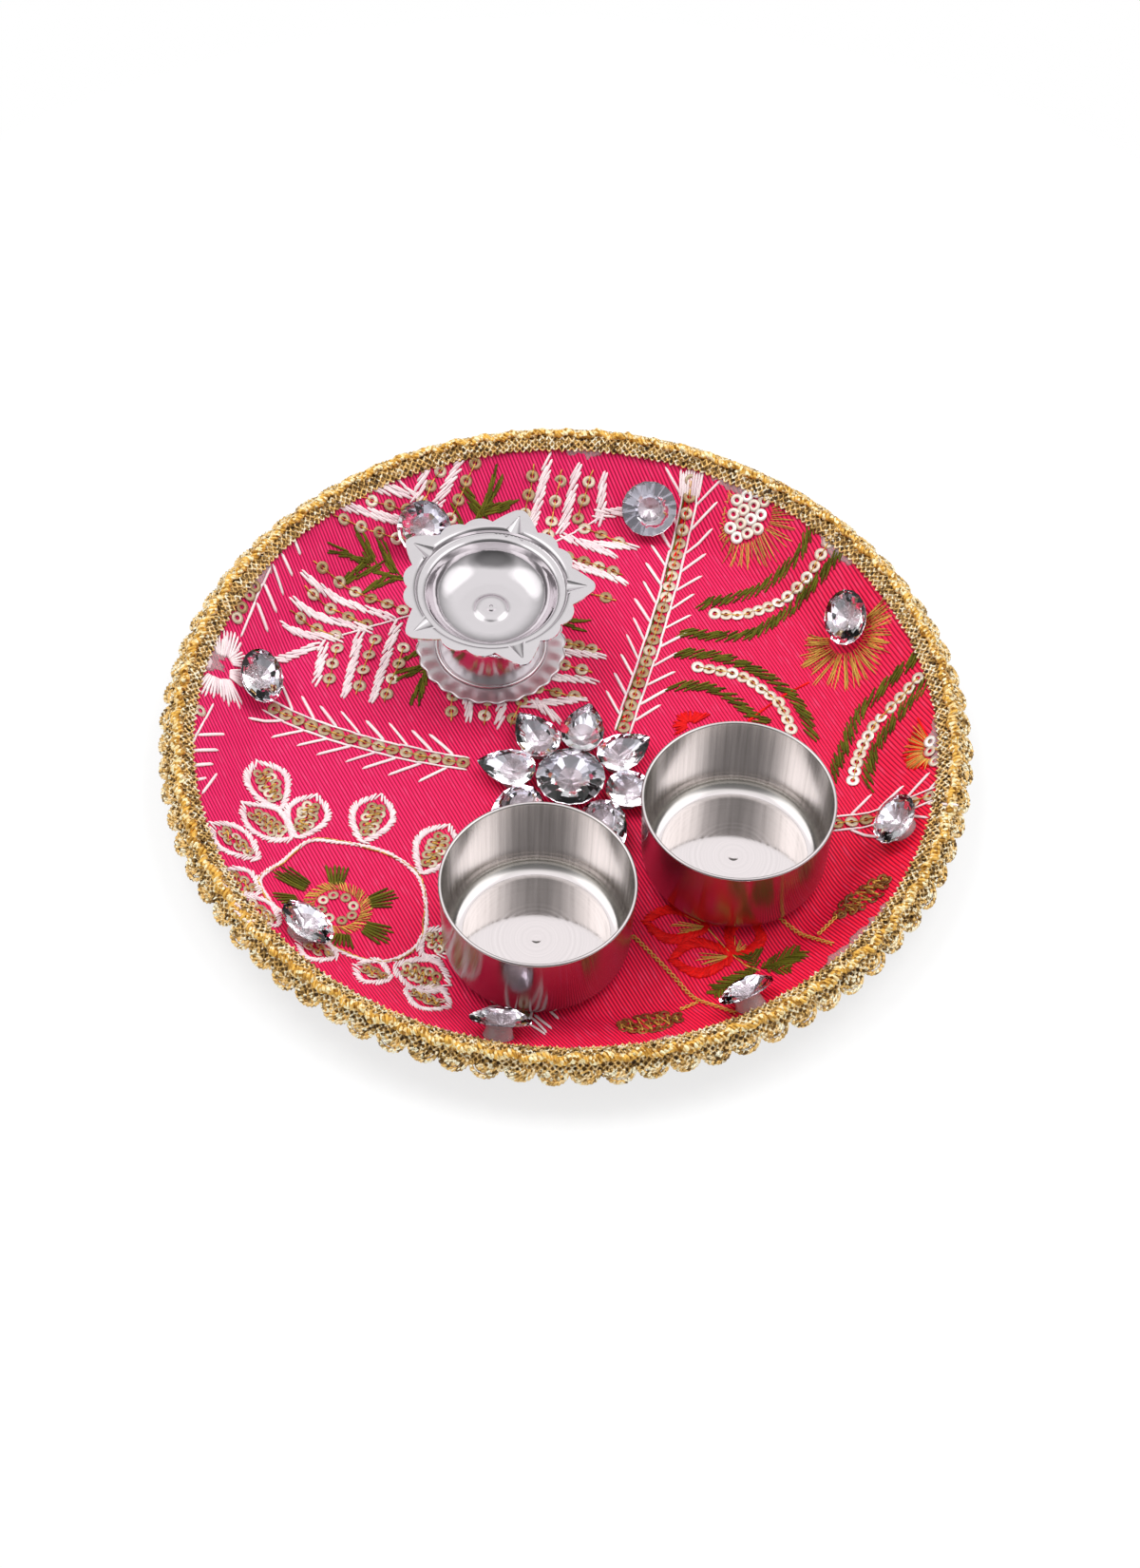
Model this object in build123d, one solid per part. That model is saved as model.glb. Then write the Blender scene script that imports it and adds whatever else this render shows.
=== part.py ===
from build123d import *
import math
import os

os.makedirs("parts", exist_ok=True)

# Puja thali: a fabric-covered steel plate edged with gold lace, with clear stones glued to it,
# two loose katoris and a loose five-spout diya.
# Lengths are in millimetres and angles in degrees. The origin is the middle of the plate's
# underside, +Z is up, -Y is the side that faces the person who holds the thali.

# Steel plate
plate_sheet = 0.6
plate_flat_radius = 82.0
plate_bend_radius = 10.0
plate_wall_angle = 35.0
plate_wall_length = 20.2
plate_bead_radius = 1.1

# Satin cover and the raised stitching on it
fabric_thickness = 0.5
stitch_height = 0.35
stitch_width = 1.6
stitch_edge_margin = 1.5

# Lace round the rim
lace_thickness = 1.0
lace_lap = 2.2
lace_roll_radius = 2.5
lace_roll_angle = 78.0
lace_apron = 2.4
lace_cord_radius = 0.8
lace_cord_gap = 0.15
lace_cord_turn = 35.0
loop_count = 80
loop_thread_radius = 0.55
loop_half_width = 2.95
loop_reach = 2.9
loop_sink = 0.3

# Stones: girdle is the widest band, pavilion the pointed back, crown the faceted front
girdle_height = 0.4
table_share = 0.52
stone_facets = 16
culet_lift = 0.4
centre_stone_diameter = 19.0
centre_crown = 2.8
centre_pavilion = 4.2
petal_length = 16.3
petal_width = 11.9
petal_crown = 2.2
petal_pavilion = 3.4
petal_count = 8
petal_first_bearing = 170.0
petal_gap = 0.35
petal_side_gap = 0.15
petal_point = 0.35
flower_x = 1.6
flower_y = -9.6
round_stone_diameter = 16.0
oval_stone_length = 17.0
oval_stone_width = 12.4
rim_crown = 2.2
rim_pavilion = 3.5
rim_stone_lift = 4.5

# Rim stones: bearing from the centre, distance of the foot in from the plate's edge, lean back
# from the square to the wall, spin
rim_round = [(120.0, 15.3, 0.0, 0.0), (76.0, 14.3, 0.0, 0.0)]
rim_oval = [
    (31.0, 11.8, 8.0, 149.0),
    (-15.0, 9.3, 0.0, 6.0),
    (-59.0, 5.8, -10.0, 20.0),
    (-98.5, 7.1, -7.0, 27.0),
    (-135.5, 9.3, 10.0, 174.0),
    (167.5, 14.6, 12.0, 22.0),
]

# Clear glue under the stones
glue_foot_radius = 4.2
glue_top_radius = 3.0
glue_height = 2.2
rim_glue_height = 3.4
glue_soak = 0.3

# Katoris
katori_sheet = 0.6
katori_floor_radius = 19.6
katori_corner_radius = 5.5
katori_wall_angle = 88.0
katori_height = 27.2
katori_bead_radius = 0.5
katori_dimple_radius = 1.4
katori_dimple_depth = 0.14
katori_left_bearing = -98.2
katori_right_bearing = -26.0
katori_gap = 0.35
katori_right_nest = 1.7

# Diya
diya_x = -22.3
diya_y = 38.0
diya_sheet = 0.5
dish_boss_radius = 2.9
dish_boss_angle = 38.0
dish_boss_bend = 2.3
dish_floor = 3.0
dish_corner_radius = 10.0
dish_wall = 1.85
dish_wall_angle = 66.0
dish_bend = 0.9
dish_ledge = 0.8
dish_step = 0.75
dish_step_angle = 68.0
flange_width = 2.4
flange_notch = 1.4
flange_scallops = 2
spout_count = 5
spout_first_bearing = 3.3
spout_half_angle = 16.5
spout_length = 5.5
spout_tip_half_width = 1.95
spout_tip_rise = 0.8
spout_bulge = 0.2
trough_margin = 2.3
trough_overrun = 1.8
trough_tip_radius = 0.2
trough_lip = 0.3
trough_tilt = 14.0
foot_height = 16.0
foot_top_radius = 6.8
foot_shoulder = 6.0
foot_wall_angle = 80.0
foot_bend = 1.2
skirt_radius = 21.2
skirt_notch = 0.8
skirt_scallops = 24
rivet_radius = 0.9
rivet_head_radius = 1.4
rivet_head_height = 0.35
rivet_dimple_radius = 0.5

# Stitching: places on the flat of the cover
fern_tips = [(-73, 32), (-50, 60), (-27, 75), (-5, 76), (9, 72), (2, 56), (0, 32), (-16, 17), (-40, 24)]
vine_left_places = [(-77, 19.3), (-27.5, -4)]
vine_back_places = [(16, 21), (24.3, 45.2), (28.2, 66.6), (29.6, 74)]
vine_front_bearing = 100.0
vine_front_reach = 17.0
barb_length = 11.0
barb_bearings = [35.0, 165.0]
barb_roots = [-10.0, -2.0, 7.0]
wreath_centre = (-57.5, -50.5)
wreath_half_length = 23.0
wreath_half_width = 19.5
bloom_centre = (46.0, -57.0)
bloom_tips = [(40, -46), (48, -44), (56, -48), (58, -52), (36, -54), (52, -62), (40, -64)]
bloom_petal_width = 3.0
bloom_stem_bearing = 75.0
bloom_stem_reach = 24.0
bloom_arm_bearings = [200.0, -20.0]
bloom_arm_reach = 15.0
arc_upper_places = [(33, 41.5), (44, 49), (55, 58)]
arc_lower_places = [(33, 41.5), (50, 31), (66, 16)]

# Larger than any piece, for cutters that pass right through
beyond = 400.0

# Sizes that follow from the ones above
cover_top = plate_sheet + fabric_thickness
stand_height = cover_top + stitch_height
petal_ring = (petal_width + petal_side_gap) / (2 * math.sin(math.pi / petal_count))
petal_root = max(centre_stone_diameter / 2 + petal_gap, petal_ring - petal_width / 2)
flower_reach = petal_root + petal_length
katori_side_radius = katori_floor_radius + katori_corner_radius


def sweep_point(point, heading, offset):
    """Point at a distance to the left of a heading in the r, z plane."""
    turn = math.radians(heading)
    return (point[0] - offset * math.sin(turn), point[1] + offset * math.cos(turn))


def walk(start, heading, moves):
    """Follow straight moves (length, 0) and bends (radius, turn); return every station passed."""
    stations = [(start, heading, 0)]
    point = start
    for size, turn in moves:
        if turn == 0:
            a = math.radians(heading)
            point = (point[0] + size * math.cos(a), point[1] + size * math.sin(a))
            stations.append((point, heading, 0))
        else:
            side = math.copysign(size, turn)
            centre = sweep_point(point, heading, side)
            middle = (sweep_point(centre, heading + turn / 2, -side), heading + turn / 2)
            heading = heading + turn
            point = sweep_point(centre, heading, -side)
            stations.append((point, heading, middle))
    return stations


def side_edges(stations, offset):
    """Edges of a walked path, moved sideways by an offset."""
    edges = []
    last = sweep_point(stations[0][0], stations[0][1], offset)
    for point, heading, middle in stations[1:]:
        here = sweep_point(point, heading, offset)
        if middle:
            edges.append(ThreePointArc(last, sweep_point(middle[0], middle[1], offset), here))
        else:
            edges.append(Line(last, here))
        last = here
    return edges


def spun_sheet(start, heading, moves, low, high):
    """Sheet turned about Z: the walked path, thickened from low to high on its left side."""
    stations = walk(start, heading, moves)
    edges = side_edges(stations, low) + side_edges(stations, high)
    for point, way, _ in (stations[0], stations[-1]):
        edges.append(Line(sweep_point(point, way, low), sweep_point(point, way, high)))
    section = make_face(edges)
    return revolve(Plane.XZ * section, Axis.Z)


def spun_ring(point, radius):
    """Round bead turned about Z."""
    return Pos(0, 0, point[1]) * Torus(point[0], radius)


def around(centre, reach, bearing):
    """Place at a reach and bearing from a centre."""
    a = math.radians(bearing)
    return (centre[0] + reach * math.cos(a), centre[1] + reach * math.sin(a))


def turned_place(place, bearing):
    """Place turned about the Z axis by a bearing."""
    return around((0, 0), math.hypot(*place), bearing + math.degrees(math.atan2(place[1], place[0])))


def scalloped_face(places):
    """Flat face bounded by arcs; places are a notch, a crest, a notch, a crest and so on."""
    arcs = []
    for k in range(0, len(places), 2):
        arcs.append(ThreePointArc(places[k], places[k + 1], places[(k + 2) % len(places)]))
    return make_face(arcs)


def oval_outline(length, width):
    """Girdle corners of a round or oval stone."""
    corners = []
    for k in range(stone_facets):
        a = 2 * math.pi * k / stone_facets
        corners.append((length / 2 * math.cos(a), width / 2 * math.sin(a)))
    return corners


def drop_outline(length, width):
    """Girdle corners of a drop stone, its point on +X."""
    angles = [2 * math.pi * k / stone_facets for k in range(stone_facets)]
    bulge = [math.sin(a) * ((1 - math.cos(a)) / 2) ** petal_point for a in angles]
    scale = width / 2 / max(bulge)
    return [(length / 2 * math.cos(a), scale * b) for a, b in zip(angles, bulge)]


def cut_stone(outline, crown, pavilion, heart):
    """Faceted stone with the middle of its girdle's lower edge at the origin, and heart its axis on X."""
    count = len(outline)
    low = [(x, y, 0) for x, y in outline]
    high = [(x, y, girdle_height) for x, y in outline]
    top = crown + girdle_height
    table = [(heart + table_share * (x - heart), table_share * y, top) for x, y in outline[::2]]
    culet = (heart, 0, -pavilion)
    facets = [table]
    for k in range(count):
        n = (k + 1) % count
        facets.append([low[k], low[n], high[n], high[k]])
        facets.append([low[n], low[k], culet])
    for k in range(len(table)):
        n = (k + 1) % len(table)
        a, b, c = 2 * k, 2 * k + 1, (2 * k + 2) % count
        facets.append([table[k], high[a], high[b]])
        facets.append([table[k], high[b], table[n]])
        facets.append([table[n], high[b], high[c]])
    return Solid(Shell([Face(Wire.make_polygon(f, close=True)) for f in facets]))


def cover_foot(radius):
    """Height of the cover's upper face at a radius on its bend or wall, and its slope there."""
    inner = plate_bend_radius - cover_top
    reach = radius - plate_flat_radius
    if reach < inner * math.sin(math.radians(plate_wall_angle)):
        slope = math.degrees(math.asin(max(reach, 0) / inner))
        return plate_bend_radius - inner * math.cos(math.radians(slope)), slope
    a = math.radians(plate_wall_angle)
    start = plate_bend_radius - inner * math.cos(a)
    return start + (reach - inner * math.sin(a)) * math.tan(a), plate_wall_angle


def stitch_line(points, width=stitch_width):
    """Raised stitching along a line of places on the flat of the cover."""
    path = Polyline(*points) if len(points) > 2 else Line(*points)
    strip = extrude(trace(path, width), stitch_height)
    return Pos(0, 0, cover_top) * strip


def joined(pieces):
    """One solid, or a few, from overlapping pieces."""
    whole = pieces[0]
    for piece in pieces[1:]:
        whole = whole + piece
    return whole


def on_flat(piece):
    """The part of a piece that lies on the flat of the plate."""
    return piece & Cylinder(plate_flat_radius - stitch_edge_margin, beyond)


nodes = {}

# Plate: flat middle, bend, flared wall and rolled edge
plate_moves = [
    (plate_flat_radius, 0),
    (plate_bend_radius, plate_wall_angle),
    (plate_wall_length, 0),
]
wall_end, wall_heading, _ = walk((0, 0), 0, plate_moves)[-1]
bead_centre = sweep_point(wall_end, wall_heading, plate_sheet / 2)
plate_bead = spun_ring(bead_centre, plate_bead_radius)
nodes["thali_plate"] = spun_sheet((0, 0), 0, plate_moves, 0, plate_sheet) + plate_bead

# Satin cover, up to the rolled edge
cover = spun_sheet((0, 0), 0, plate_moves, plate_sheet, cover_top) - plate_bead
nodes["fabric_cover"] = cover

# Lace: laps the top of the wall, rolls over the rolled edge and stands out past it
lap_a = math.radians(wall_heading)
lace_start = (wall_end[0] - lace_lap * math.cos(lap_a), wall_end[1] - lace_lap * math.sin(lap_a))
lace_moves = [(lace_lap, 0), (lace_roll_radius, -lace_roll_angle), (lace_apron, 0)]
lace_path = walk(sweep_point(lace_start, wall_heading, cover_top), wall_heading, lace_moves)
roll_start, roll_heading, _ = lace_path[1]
roll_centre = sweep_point(roll_start, roll_heading, -lace_roll_radius)
cord_reach = lace_roll_radius + lace_thickness + lace_cord_gap + lace_cord_radius
cord_centre = sweep_point(roll_centre, roll_heading - lace_cord_turn, cord_reach)
band = spun_sheet(lace_path[0][0], wall_heading, lace_moves, 0, lace_thickness)
nodes["lace_band"] = band - plate_bead - cover
nodes["lace_cord"] = spun_ring(cord_centre, lace_cord_radius)

# Loops along the lace's outer edge
edge_point, edge_heading, _ = lace_path[-1]
loop_root = sweep_point(edge_point, edge_heading, lace_thickness / 2)
edge_a = math.radians(edge_heading)
loop_plane = Plane(
    origin=(loop_root[0], 0, loop_root[1]),
    x_dir=(math.cos(edge_a), 0, math.sin(edge_a)),
    z_dir=(-math.sin(edge_a), 0, math.cos(edge_a)),
)
loop_arc = ThreePointArc(
    (-loop_sink, -loop_half_width), (loop_reach, 0), (-loop_sink, loop_half_width)
)
loop_thread = sweep((loop_arc ^ 0) * Circle(loop_thread_radius), loop_arc)
loop = loop_plane * loop_thread
loops = [Rot(0, 0, 360 / loop_count * k) * loop for k in range(loop_count)]
nodes["lace_loops"] = Compound(children=[Part(l.wrapped) for l in loops])

# Flower of clear stones on glue
flower = (flower_x, flower_y)
dab = Cone(glue_foot_radius, glue_top_radius, glue_height, align=(Align.CENTER, Align.CENTER, Align.MIN))
centre_stone = cut_stone(
    oval_outline(centre_stone_diameter, centre_stone_diameter), centre_crown, centre_pavilion, 0
)
centre_stone = Pos(*flower, cover_top + culet_lift + centre_pavilion) * centre_stone
nodes["centre_stone"] = centre_stone
nodes["centre_glue"] = Pos(*flower, cover_top) * dab - centre_stone
petal_heart = petal_width / 2 - petal_length / 2
petal = cut_stone(drop_outline(petal_length, petal_width), petal_crown, petal_pavilion, petal_heart)
petal_reach = petal_root + petal_length / 2
for k in range(petal_count):
    bearing = petal_first_bearing - 360 / petal_count * k
    turned = Pos(*flower, cover_top) * Rot(0, 0, bearing)
    placed = turned * Pos(petal_reach, 0, culet_lift + petal_pavilion) * petal
    nodes[f"petal_stone_{k + 1}"] = placed
    nodes[f"petal_glue_{k + 1}"] = turned * Pos(petal_reach + petal_heart, 0, 0) * dab - placed

# Stones on the flared wall, each on a taller dab of glue
rim_dab = Cone(
    glue_foot_radius,
    glue_top_radius,
    rim_glue_height + glue_soak,
    align=(Align.CENTER, Align.CENTER, Align.MIN),
)
round_stone = cut_stone(oval_outline(round_stone_diameter, round_stone_diameter), rim_crown, rim_pavilion, 0)
oval_stone = cut_stone(oval_outline(oval_stone_length, oval_stone_width), rim_crown, rim_pavilion, 0)
rim_places = [(round_stone, place) for place in rim_round] + [(oval_stone, place) for place in rim_oval]
for k, (stone, (bearing, inset, lean, spin)) in enumerate(rim_places):
    radius = wall_end[0] - inset
    height, slope = cover_foot(radius)
    foot = Rot(0, 0, bearing) * Pos(radius, 0, height) * Rot(0, -slope, 0)
    turned = Pos(0, 0, rim_stone_lift) * Rot(0, lean, 0) * Rot(0, 0, 90 + spin)
    placed = foot * turned * stone
    nodes[f"rim_stone_{k + 1}"] = placed
    glue = foot * Pos(0, 0, -glue_soak) * rim_dab
    nodes[f"rim_glue_{k + 1}"] = glue - cover - placed - nodes["lace_band"]

# Katoris: straight-sided steel bowls that stand on the stitching
katori_top = walk((0, 0), 0, [(katori_floor_radius, 0), (katori_corner_radius, katori_wall_angle)])[-1]
katori_a = math.radians(katori_wall_angle)
katori_rise = katori_height - katori_top[0][1] - katori_bead_radius
katori_moves = [
    (katori_floor_radius, 0),
    (katori_corner_radius, katori_wall_angle),
    (katori_rise / math.sin(katori_a), 0),
]
katori_end, katori_heading, _ = walk((0, 0), 0, katori_moves)[-1]
katori_bead = spun_ring(sweep_point(katori_end, katori_heading, katori_sheet / 2), katori_bead_radius)
dimple_ball = (katori_dimple_radius**2 + katori_dimple_depth**2) / (2 * katori_dimple_depth)
dimple = Pos(0, 0, katori_sheet - katori_dimple_depth + dimple_ball) * Sphere(dimple_ball)
katori = spun_sheet((0, 0), 0, katori_moves, 0, katori_sheet) + katori_bead - dimple
katori_left_reach = flower_reach + katori_gap + katori_side_radius
katori_right_reach = katori_left_reach - katori_right_nest
katori_left = around(flower, katori_left_reach, katori_left_bearing)
katori_right = around(flower, katori_right_reach, katori_right_bearing)
nodes["katori_left"] = Pos(*katori_left, stand_height) * katori
nodes["katori_right"] = Pos(*katori_right, stand_height) * katori

# Diya foot: an upside-down pressed dish with a scalloped skirt
diya = (diya_x, diya_y)
foot_a = math.radians(foot_wall_angle)
foot_fall = (foot_shoulder + foot_bend) * (1 - math.cos(foot_a))
foot_moves = [
    (foot_top_radius, 0),
    (foot_shoulder, -foot_wall_angle),
    ((foot_height - diya_sheet - foot_fall) / math.sin(foot_a), 0),
    (foot_bend, foot_wall_angle),
]
foot_end, _, _ = walk((0, foot_height - diya_sheet), 0, foot_moves)[-1]
skirt_step = 360 / skirt_scallops
skirt_places = []
for k in range(skirt_scallops):
    skirt_places.append(around((0, 0), skirt_radius - skirt_notch, skirt_step * k))
    skirt_places.append(around((0, 0), skirt_radius, skirt_step * (k + 0.5)))
skirt = extrude(scalloped_face(skirt_places) - Circle(foot_end[0]), diya_sheet)
rivet_hole = Cylinder(rivet_radius, beyond)
foot_shell = spun_sheet((0, foot_height - diya_sheet), 0, foot_moves, 0, diya_sheet)
foot_piece = foot_shell + skirt - rivet_hole
nodes["diya_foot"] = Pos(*diya, stand_height) * foot_piece

# Diya dish: raised boss, bowl, ledge and step, then a scalloped flange with five spouts
boss_fall = 2 * dish_boss_bend * (1 - math.cos(math.radians(dish_boss_angle)))
dish_moves = [
    (dish_boss_radius, 0),
    (dish_boss_bend, -dish_boss_angle),
    (dish_boss_bend, dish_boss_angle),
    (dish_floor, 0),
    (dish_corner_radius, dish_wall_angle),
    (dish_wall, 0),
    (dish_bend, -dish_wall_angle),
    (dish_ledge, 0),
    (dish_bend, dish_step_angle),
    (dish_step, 0),
    (dish_bend, -dish_step_angle),
]
dish_start = (0, foot_height + boss_fall)
dish_path = walk(dish_start, 0, dish_moves)
dish_end = dish_path[-1][0]
step_radius = dish_path[-2][0][0] - diya_sheet / 2
ledge_top = dish_path[-4][0][1] + diya_sheet
spout_step = 360 / spout_count
scallop_step = (spout_step - 2 * spout_half_angle) / flange_scallops
flange_radius = dish_end[0] + flange_width
notch_radius = flange_radius - flange_notch
spout_reach = notch_radius + spout_length
root_x, root_y = around((0, 0), notch_radius, spout_half_angle)
shoulder_x, shoulder_y = spout_reach - spout_tip_rise, spout_tip_half_width
flank_length = math.hypot(shoulder_x - root_x, shoulder_y - root_y)
flank_x = (root_x + shoulder_x) / 2 + spout_bulge * (root_y - shoulder_y) / flank_length
flank_y = (root_y + shoulder_y) / 2 + spout_bulge * (shoulder_x - root_x) / flank_length
spout_places = [
    (root_x, -root_y),
    (flank_x, -flank_y),
    (shoulder_x, -shoulder_y),
    (spout_reach, 0),
    (shoulder_x, shoulder_y),
    (flank_x, flank_y),
]
flange_places = []
for k in range(spout_count):
    bearing = spout_first_bearing + spout_step * k
    for place in spout_places:
        flange_places.append(turned_place(place, bearing))
    for n in range(flange_scallops):
        edge = bearing + spout_half_angle + scallop_step * n
        flange_places.append(around((0, 0), notch_radius, edge))
        flange_places.append(around((0, 0), flange_radius, edge + scallop_step / 2))
flange = extrude(scalloped_face(flange_places) - Circle(dish_end[0]), diya_sheet)
dish = spun_sheet(dish_start, 0, dish_moves, 0, diya_sheet) + Pos(0, 0, dish_end[1]) * flange
flange_top = dish_end[1] + diya_sheet


def trough(extra):
    """Wick trough along +X: a cone that runs out at the flange's upper face and opens just above the ledge."""
    tilt = math.radians(trough_tilt)
    tip_place = spout_reach - trough_margin
    length = (tip_place - step_radius + trough_overrun) / math.cos(tilt)
    mouth_drop = flange_top - ledge_top - trough_lip
    mouth = (length * math.sin(tilt) + mouth_drop) / math.cos(tilt)
    tip = Plane(origin=(tip_place, 0, flange_top), z_dir=(-math.cos(tilt), 0, math.sin(tilt)))
    cone = Cone(
        trough_tip_radius + extra, mouth + extra, length, align=(Align.CENTER, Align.CENTER, Align.MIN)
    )
    return tip * cone


below_flange = Pos(0, 0, flange_top) * Box(
    beyond, beyond, beyond, align=(Align.CENTER, Align.CENTER, Align.MAX)
)
trough_skin = (trough(diya_sheet) & below_flange) - Cylinder(step_radius, beyond)
trough_hollow = trough(0)
for k in range(spout_count):
    dish = dish + Rot(0, 0, spout_first_bearing + spout_step * k) * trough_skin
for k in range(spout_count):
    dish = dish - Rot(0, 0, spout_first_bearing + spout_step * k) * trough_hollow
nodes["diya_dish"] = Pos(*diya, stand_height) * (dish - rivet_hole)

# Rivet through the boss and the top of the foot
rivet_low = foot_height - diya_sheet
rivet_high = dish_start[1] + diya_sheet
head = Cylinder(
    rivet_head_radius, rivet_head_height, align=(Align.CENTER, Align.CENTER, Align.MIN)
)
shank = Cylinder(
    rivet_radius, rivet_high - rivet_low, align=(Align.CENTER, Align.CENTER, Align.MIN)
)
rivet = Pos(0, 0, rivet_low) * shank + Pos(0, 0, rivet_high) * head
rivet = rivet + Pos(0, 0, rivet_low - rivet_head_height) * head
rivet = rivet - Pos(0, 0, rivet_high + rivet_head_height) * Sphere(rivet_dimple_radius)
nodes["diya_rivet"] = Pos(*diya, stand_height) * rivet

# Stitching: fern spray under and round the diya
nodes["stitch_fern"] = on_flat(joined([stitch_line([diya, tip]) for tip in fern_tips]))

# Stitching: feathered vines at the left and at the back
nodes["stitch_vine_left"] = on_flat(stitch_line(vine_left_places))
nodes["stitch_vine_back"] = on_flat(stitch_line(vine_back_places))

# Stitching: feathered vine under the left katori
vine_foot = around(katori_left, -vine_front_reach, vine_front_bearing)
vine_head = around(katori_left, vine_front_reach, vine_front_bearing)
front_lines = [stitch_line([vine_foot, vine_head])]
for along in barb_roots:
    root = around(katori_left, along, vine_front_bearing)
    for bearing in barb_bearings:
        front_lines.append(stitch_line([around(root, barb_length, bearing), root]))
nodes["stitch_vine_front"] = on_flat(joined(front_lines))

# Stitching: leaf wreath at the front left, as far as the flat reaches
wreath_ring = Ellipse(wreath_half_length, wreath_half_width) - Ellipse(
    wreath_half_length - stitch_width, wreath_half_width - stitch_width
)
wreath = Pos(*wreath_centre, cover_top) * extrude(wreath_ring, stitch_height)
nodes["stitch_wreath"] = on_flat(wreath)

# Stitching: red flower at the front right, its stem and arms under the right katori
bloom_lines = [stitch_line([bloom_centre, tip], bloom_petal_width) for tip in bloom_tips]
stem_end = around(katori_right, bloom_stem_reach, bloom_stem_bearing)
bloom_lines.append(stitch_line([bloom_centre, katori_right, stem_end]))
arm_ends = [around(katori_right, bloom_arm_reach, bearing) for bearing in bloom_arm_bearings]
bloom_lines.append(stitch_line([arm_ends[0], katori_right, arm_ends[1]]))
nodes["stitch_bloom"] = on_flat(joined(bloom_lines))

# Stitching: olive and sequin arcs at the right of the back
nodes["stitch_arcs"] = on_flat(joined([stitch_line(arc_upper_places), stitch_line(arc_lower_places)]))

for name, shape in nodes.items():
    export_step(shape, f"parts/{name}.step")
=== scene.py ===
"""Puja thali: satin, lace, embroidery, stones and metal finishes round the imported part.

Places and sizes in the functions are in millimetres, in the part's own frame: the origin is the middle of
the plate's underside, +Z is up and -Y is the front. Meshes are turned to metres when they are made.
"""

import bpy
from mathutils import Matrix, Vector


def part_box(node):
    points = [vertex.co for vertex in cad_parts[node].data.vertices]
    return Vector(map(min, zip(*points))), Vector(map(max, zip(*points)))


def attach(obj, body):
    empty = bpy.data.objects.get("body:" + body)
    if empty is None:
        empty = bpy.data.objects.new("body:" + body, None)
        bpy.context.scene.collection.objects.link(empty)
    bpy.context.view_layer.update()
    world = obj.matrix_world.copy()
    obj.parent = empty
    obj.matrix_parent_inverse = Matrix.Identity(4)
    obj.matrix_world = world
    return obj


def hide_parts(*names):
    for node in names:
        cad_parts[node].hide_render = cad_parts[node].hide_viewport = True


bl_info = {
    "name": "Puja thali",
    "version": (1, 0, 0),
    "blender": (4, 5, 0),
    "location": "View3D > Sidebar > Thali",
    "description": "Satin, gold lace, embroidery, stones and metal finishes of a puja thali",
    "category": "Add Mesh",
}

import math
from collections import namedtuple
from functools import partial
from types import SimpleNamespace

import bpy
import numpy as np
from bpy.props import FloatProperty, FloatVectorProperty, IntProperty, PointerProperty
from mathutils import Matrix

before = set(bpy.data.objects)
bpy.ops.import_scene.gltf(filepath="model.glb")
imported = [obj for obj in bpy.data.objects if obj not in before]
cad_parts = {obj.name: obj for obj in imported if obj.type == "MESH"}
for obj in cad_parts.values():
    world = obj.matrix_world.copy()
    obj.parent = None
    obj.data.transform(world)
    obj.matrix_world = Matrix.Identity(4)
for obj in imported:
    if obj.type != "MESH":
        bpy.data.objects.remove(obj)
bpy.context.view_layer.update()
mm = 0.001
tau = 2 * math.pi

# The tray's cover, as the part has it
cover_top = 1.1
flat_radius = 82.0
bend_radius = 8.9
wall_slope = math.radians(35)
wall_start = flat_radius + bend_radius * math.sin(wall_slope)
cloth_edge = 103.0
cloth_thickness = 0.3
cloth_sunk = 0.02  # The satin's top lies this far under the part's own surface

# The lace's strip, from its inner edge: up the wall, over the rolled edge, down and out
lace_inner = (101.85, 13.03)
lace_lap = 2.2
lace_roll = 2.5
lace_turn = math.radians(78)
lace_apron = 2.4
lace_width = lace_lap + lace_roll * lace_turn + lace_apron
cord_across = lace_lap + lace_roll * math.radians(50)
loop_count = 80
loop_reach = 2.9

# What stands on the cloth leaves this much room for thread under it
room_under = 0.3

# Skirt of the lamp's foot
skirt_inner = 15.7
skirt_radius = 21.2
skirt_notch = 0.8
skirt_scallops = 24
skirt_sheet = 0.5
flute_height = 0.25

Shape = namedtuple("Shape", "points faces shade")


def linear(code):
    """Linear RGBA of an sRGB hex colour."""
    part = np.array([int(code[k : k + 2], 16) for k in (1, 3, 5)]) / 255
    part = np.where(part <= 0.04045, part / 12.92, ((part + 0.055) / 1.055) ** 2.4)
    return (*part.tolist(), 1.0)


def node_middle(name):
    """Middle of a node's box in plan, and half its width, in millimetres."""
    low, high = (np.array(corner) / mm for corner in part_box(name))
    return (low + high)[:2] / 2, (high - low)[0] / 2


# Surfaces


def grid_faces(index, loop=False):
    """Four-cornered faces of grids: index is (grids, rows, columns). The last column joins the first, and
    in a loop the last row joins the first too. Faces point along column direction x row direction."""
    here, ahead = (index, np.roll(index, -1, axis=1)) if loop else (index[:, :-1], index[:, 1:])
    beside, across = np.roll(here, -1, axis=2), np.roll(ahead, -1, axis=2)
    return np.stack([here, beside, across, ahead], axis=-1).reshape(-1, 4)


def skin(points, shade=None, loop=False):
    """Grids of points, (grids, rows, columns, 3), as one shape. A loop joins its last row to its first, and
    other grids are capped. shade is one number for each grid, kept for the material."""
    grids, rows, columns = points.shape[:3]
    index = np.arange(grids * rows * columns).reshape(grids, rows, columns)
    caps = [] if loop else [index[:, 0, ::-1], index[:, -1]]
    shade = np.zeros(grids) if shade is None else shade
    return Shape(points.reshape(-1, 3), [grid_faces(index, loop), *caps], np.repeat(shade, rows * columns))


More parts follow.
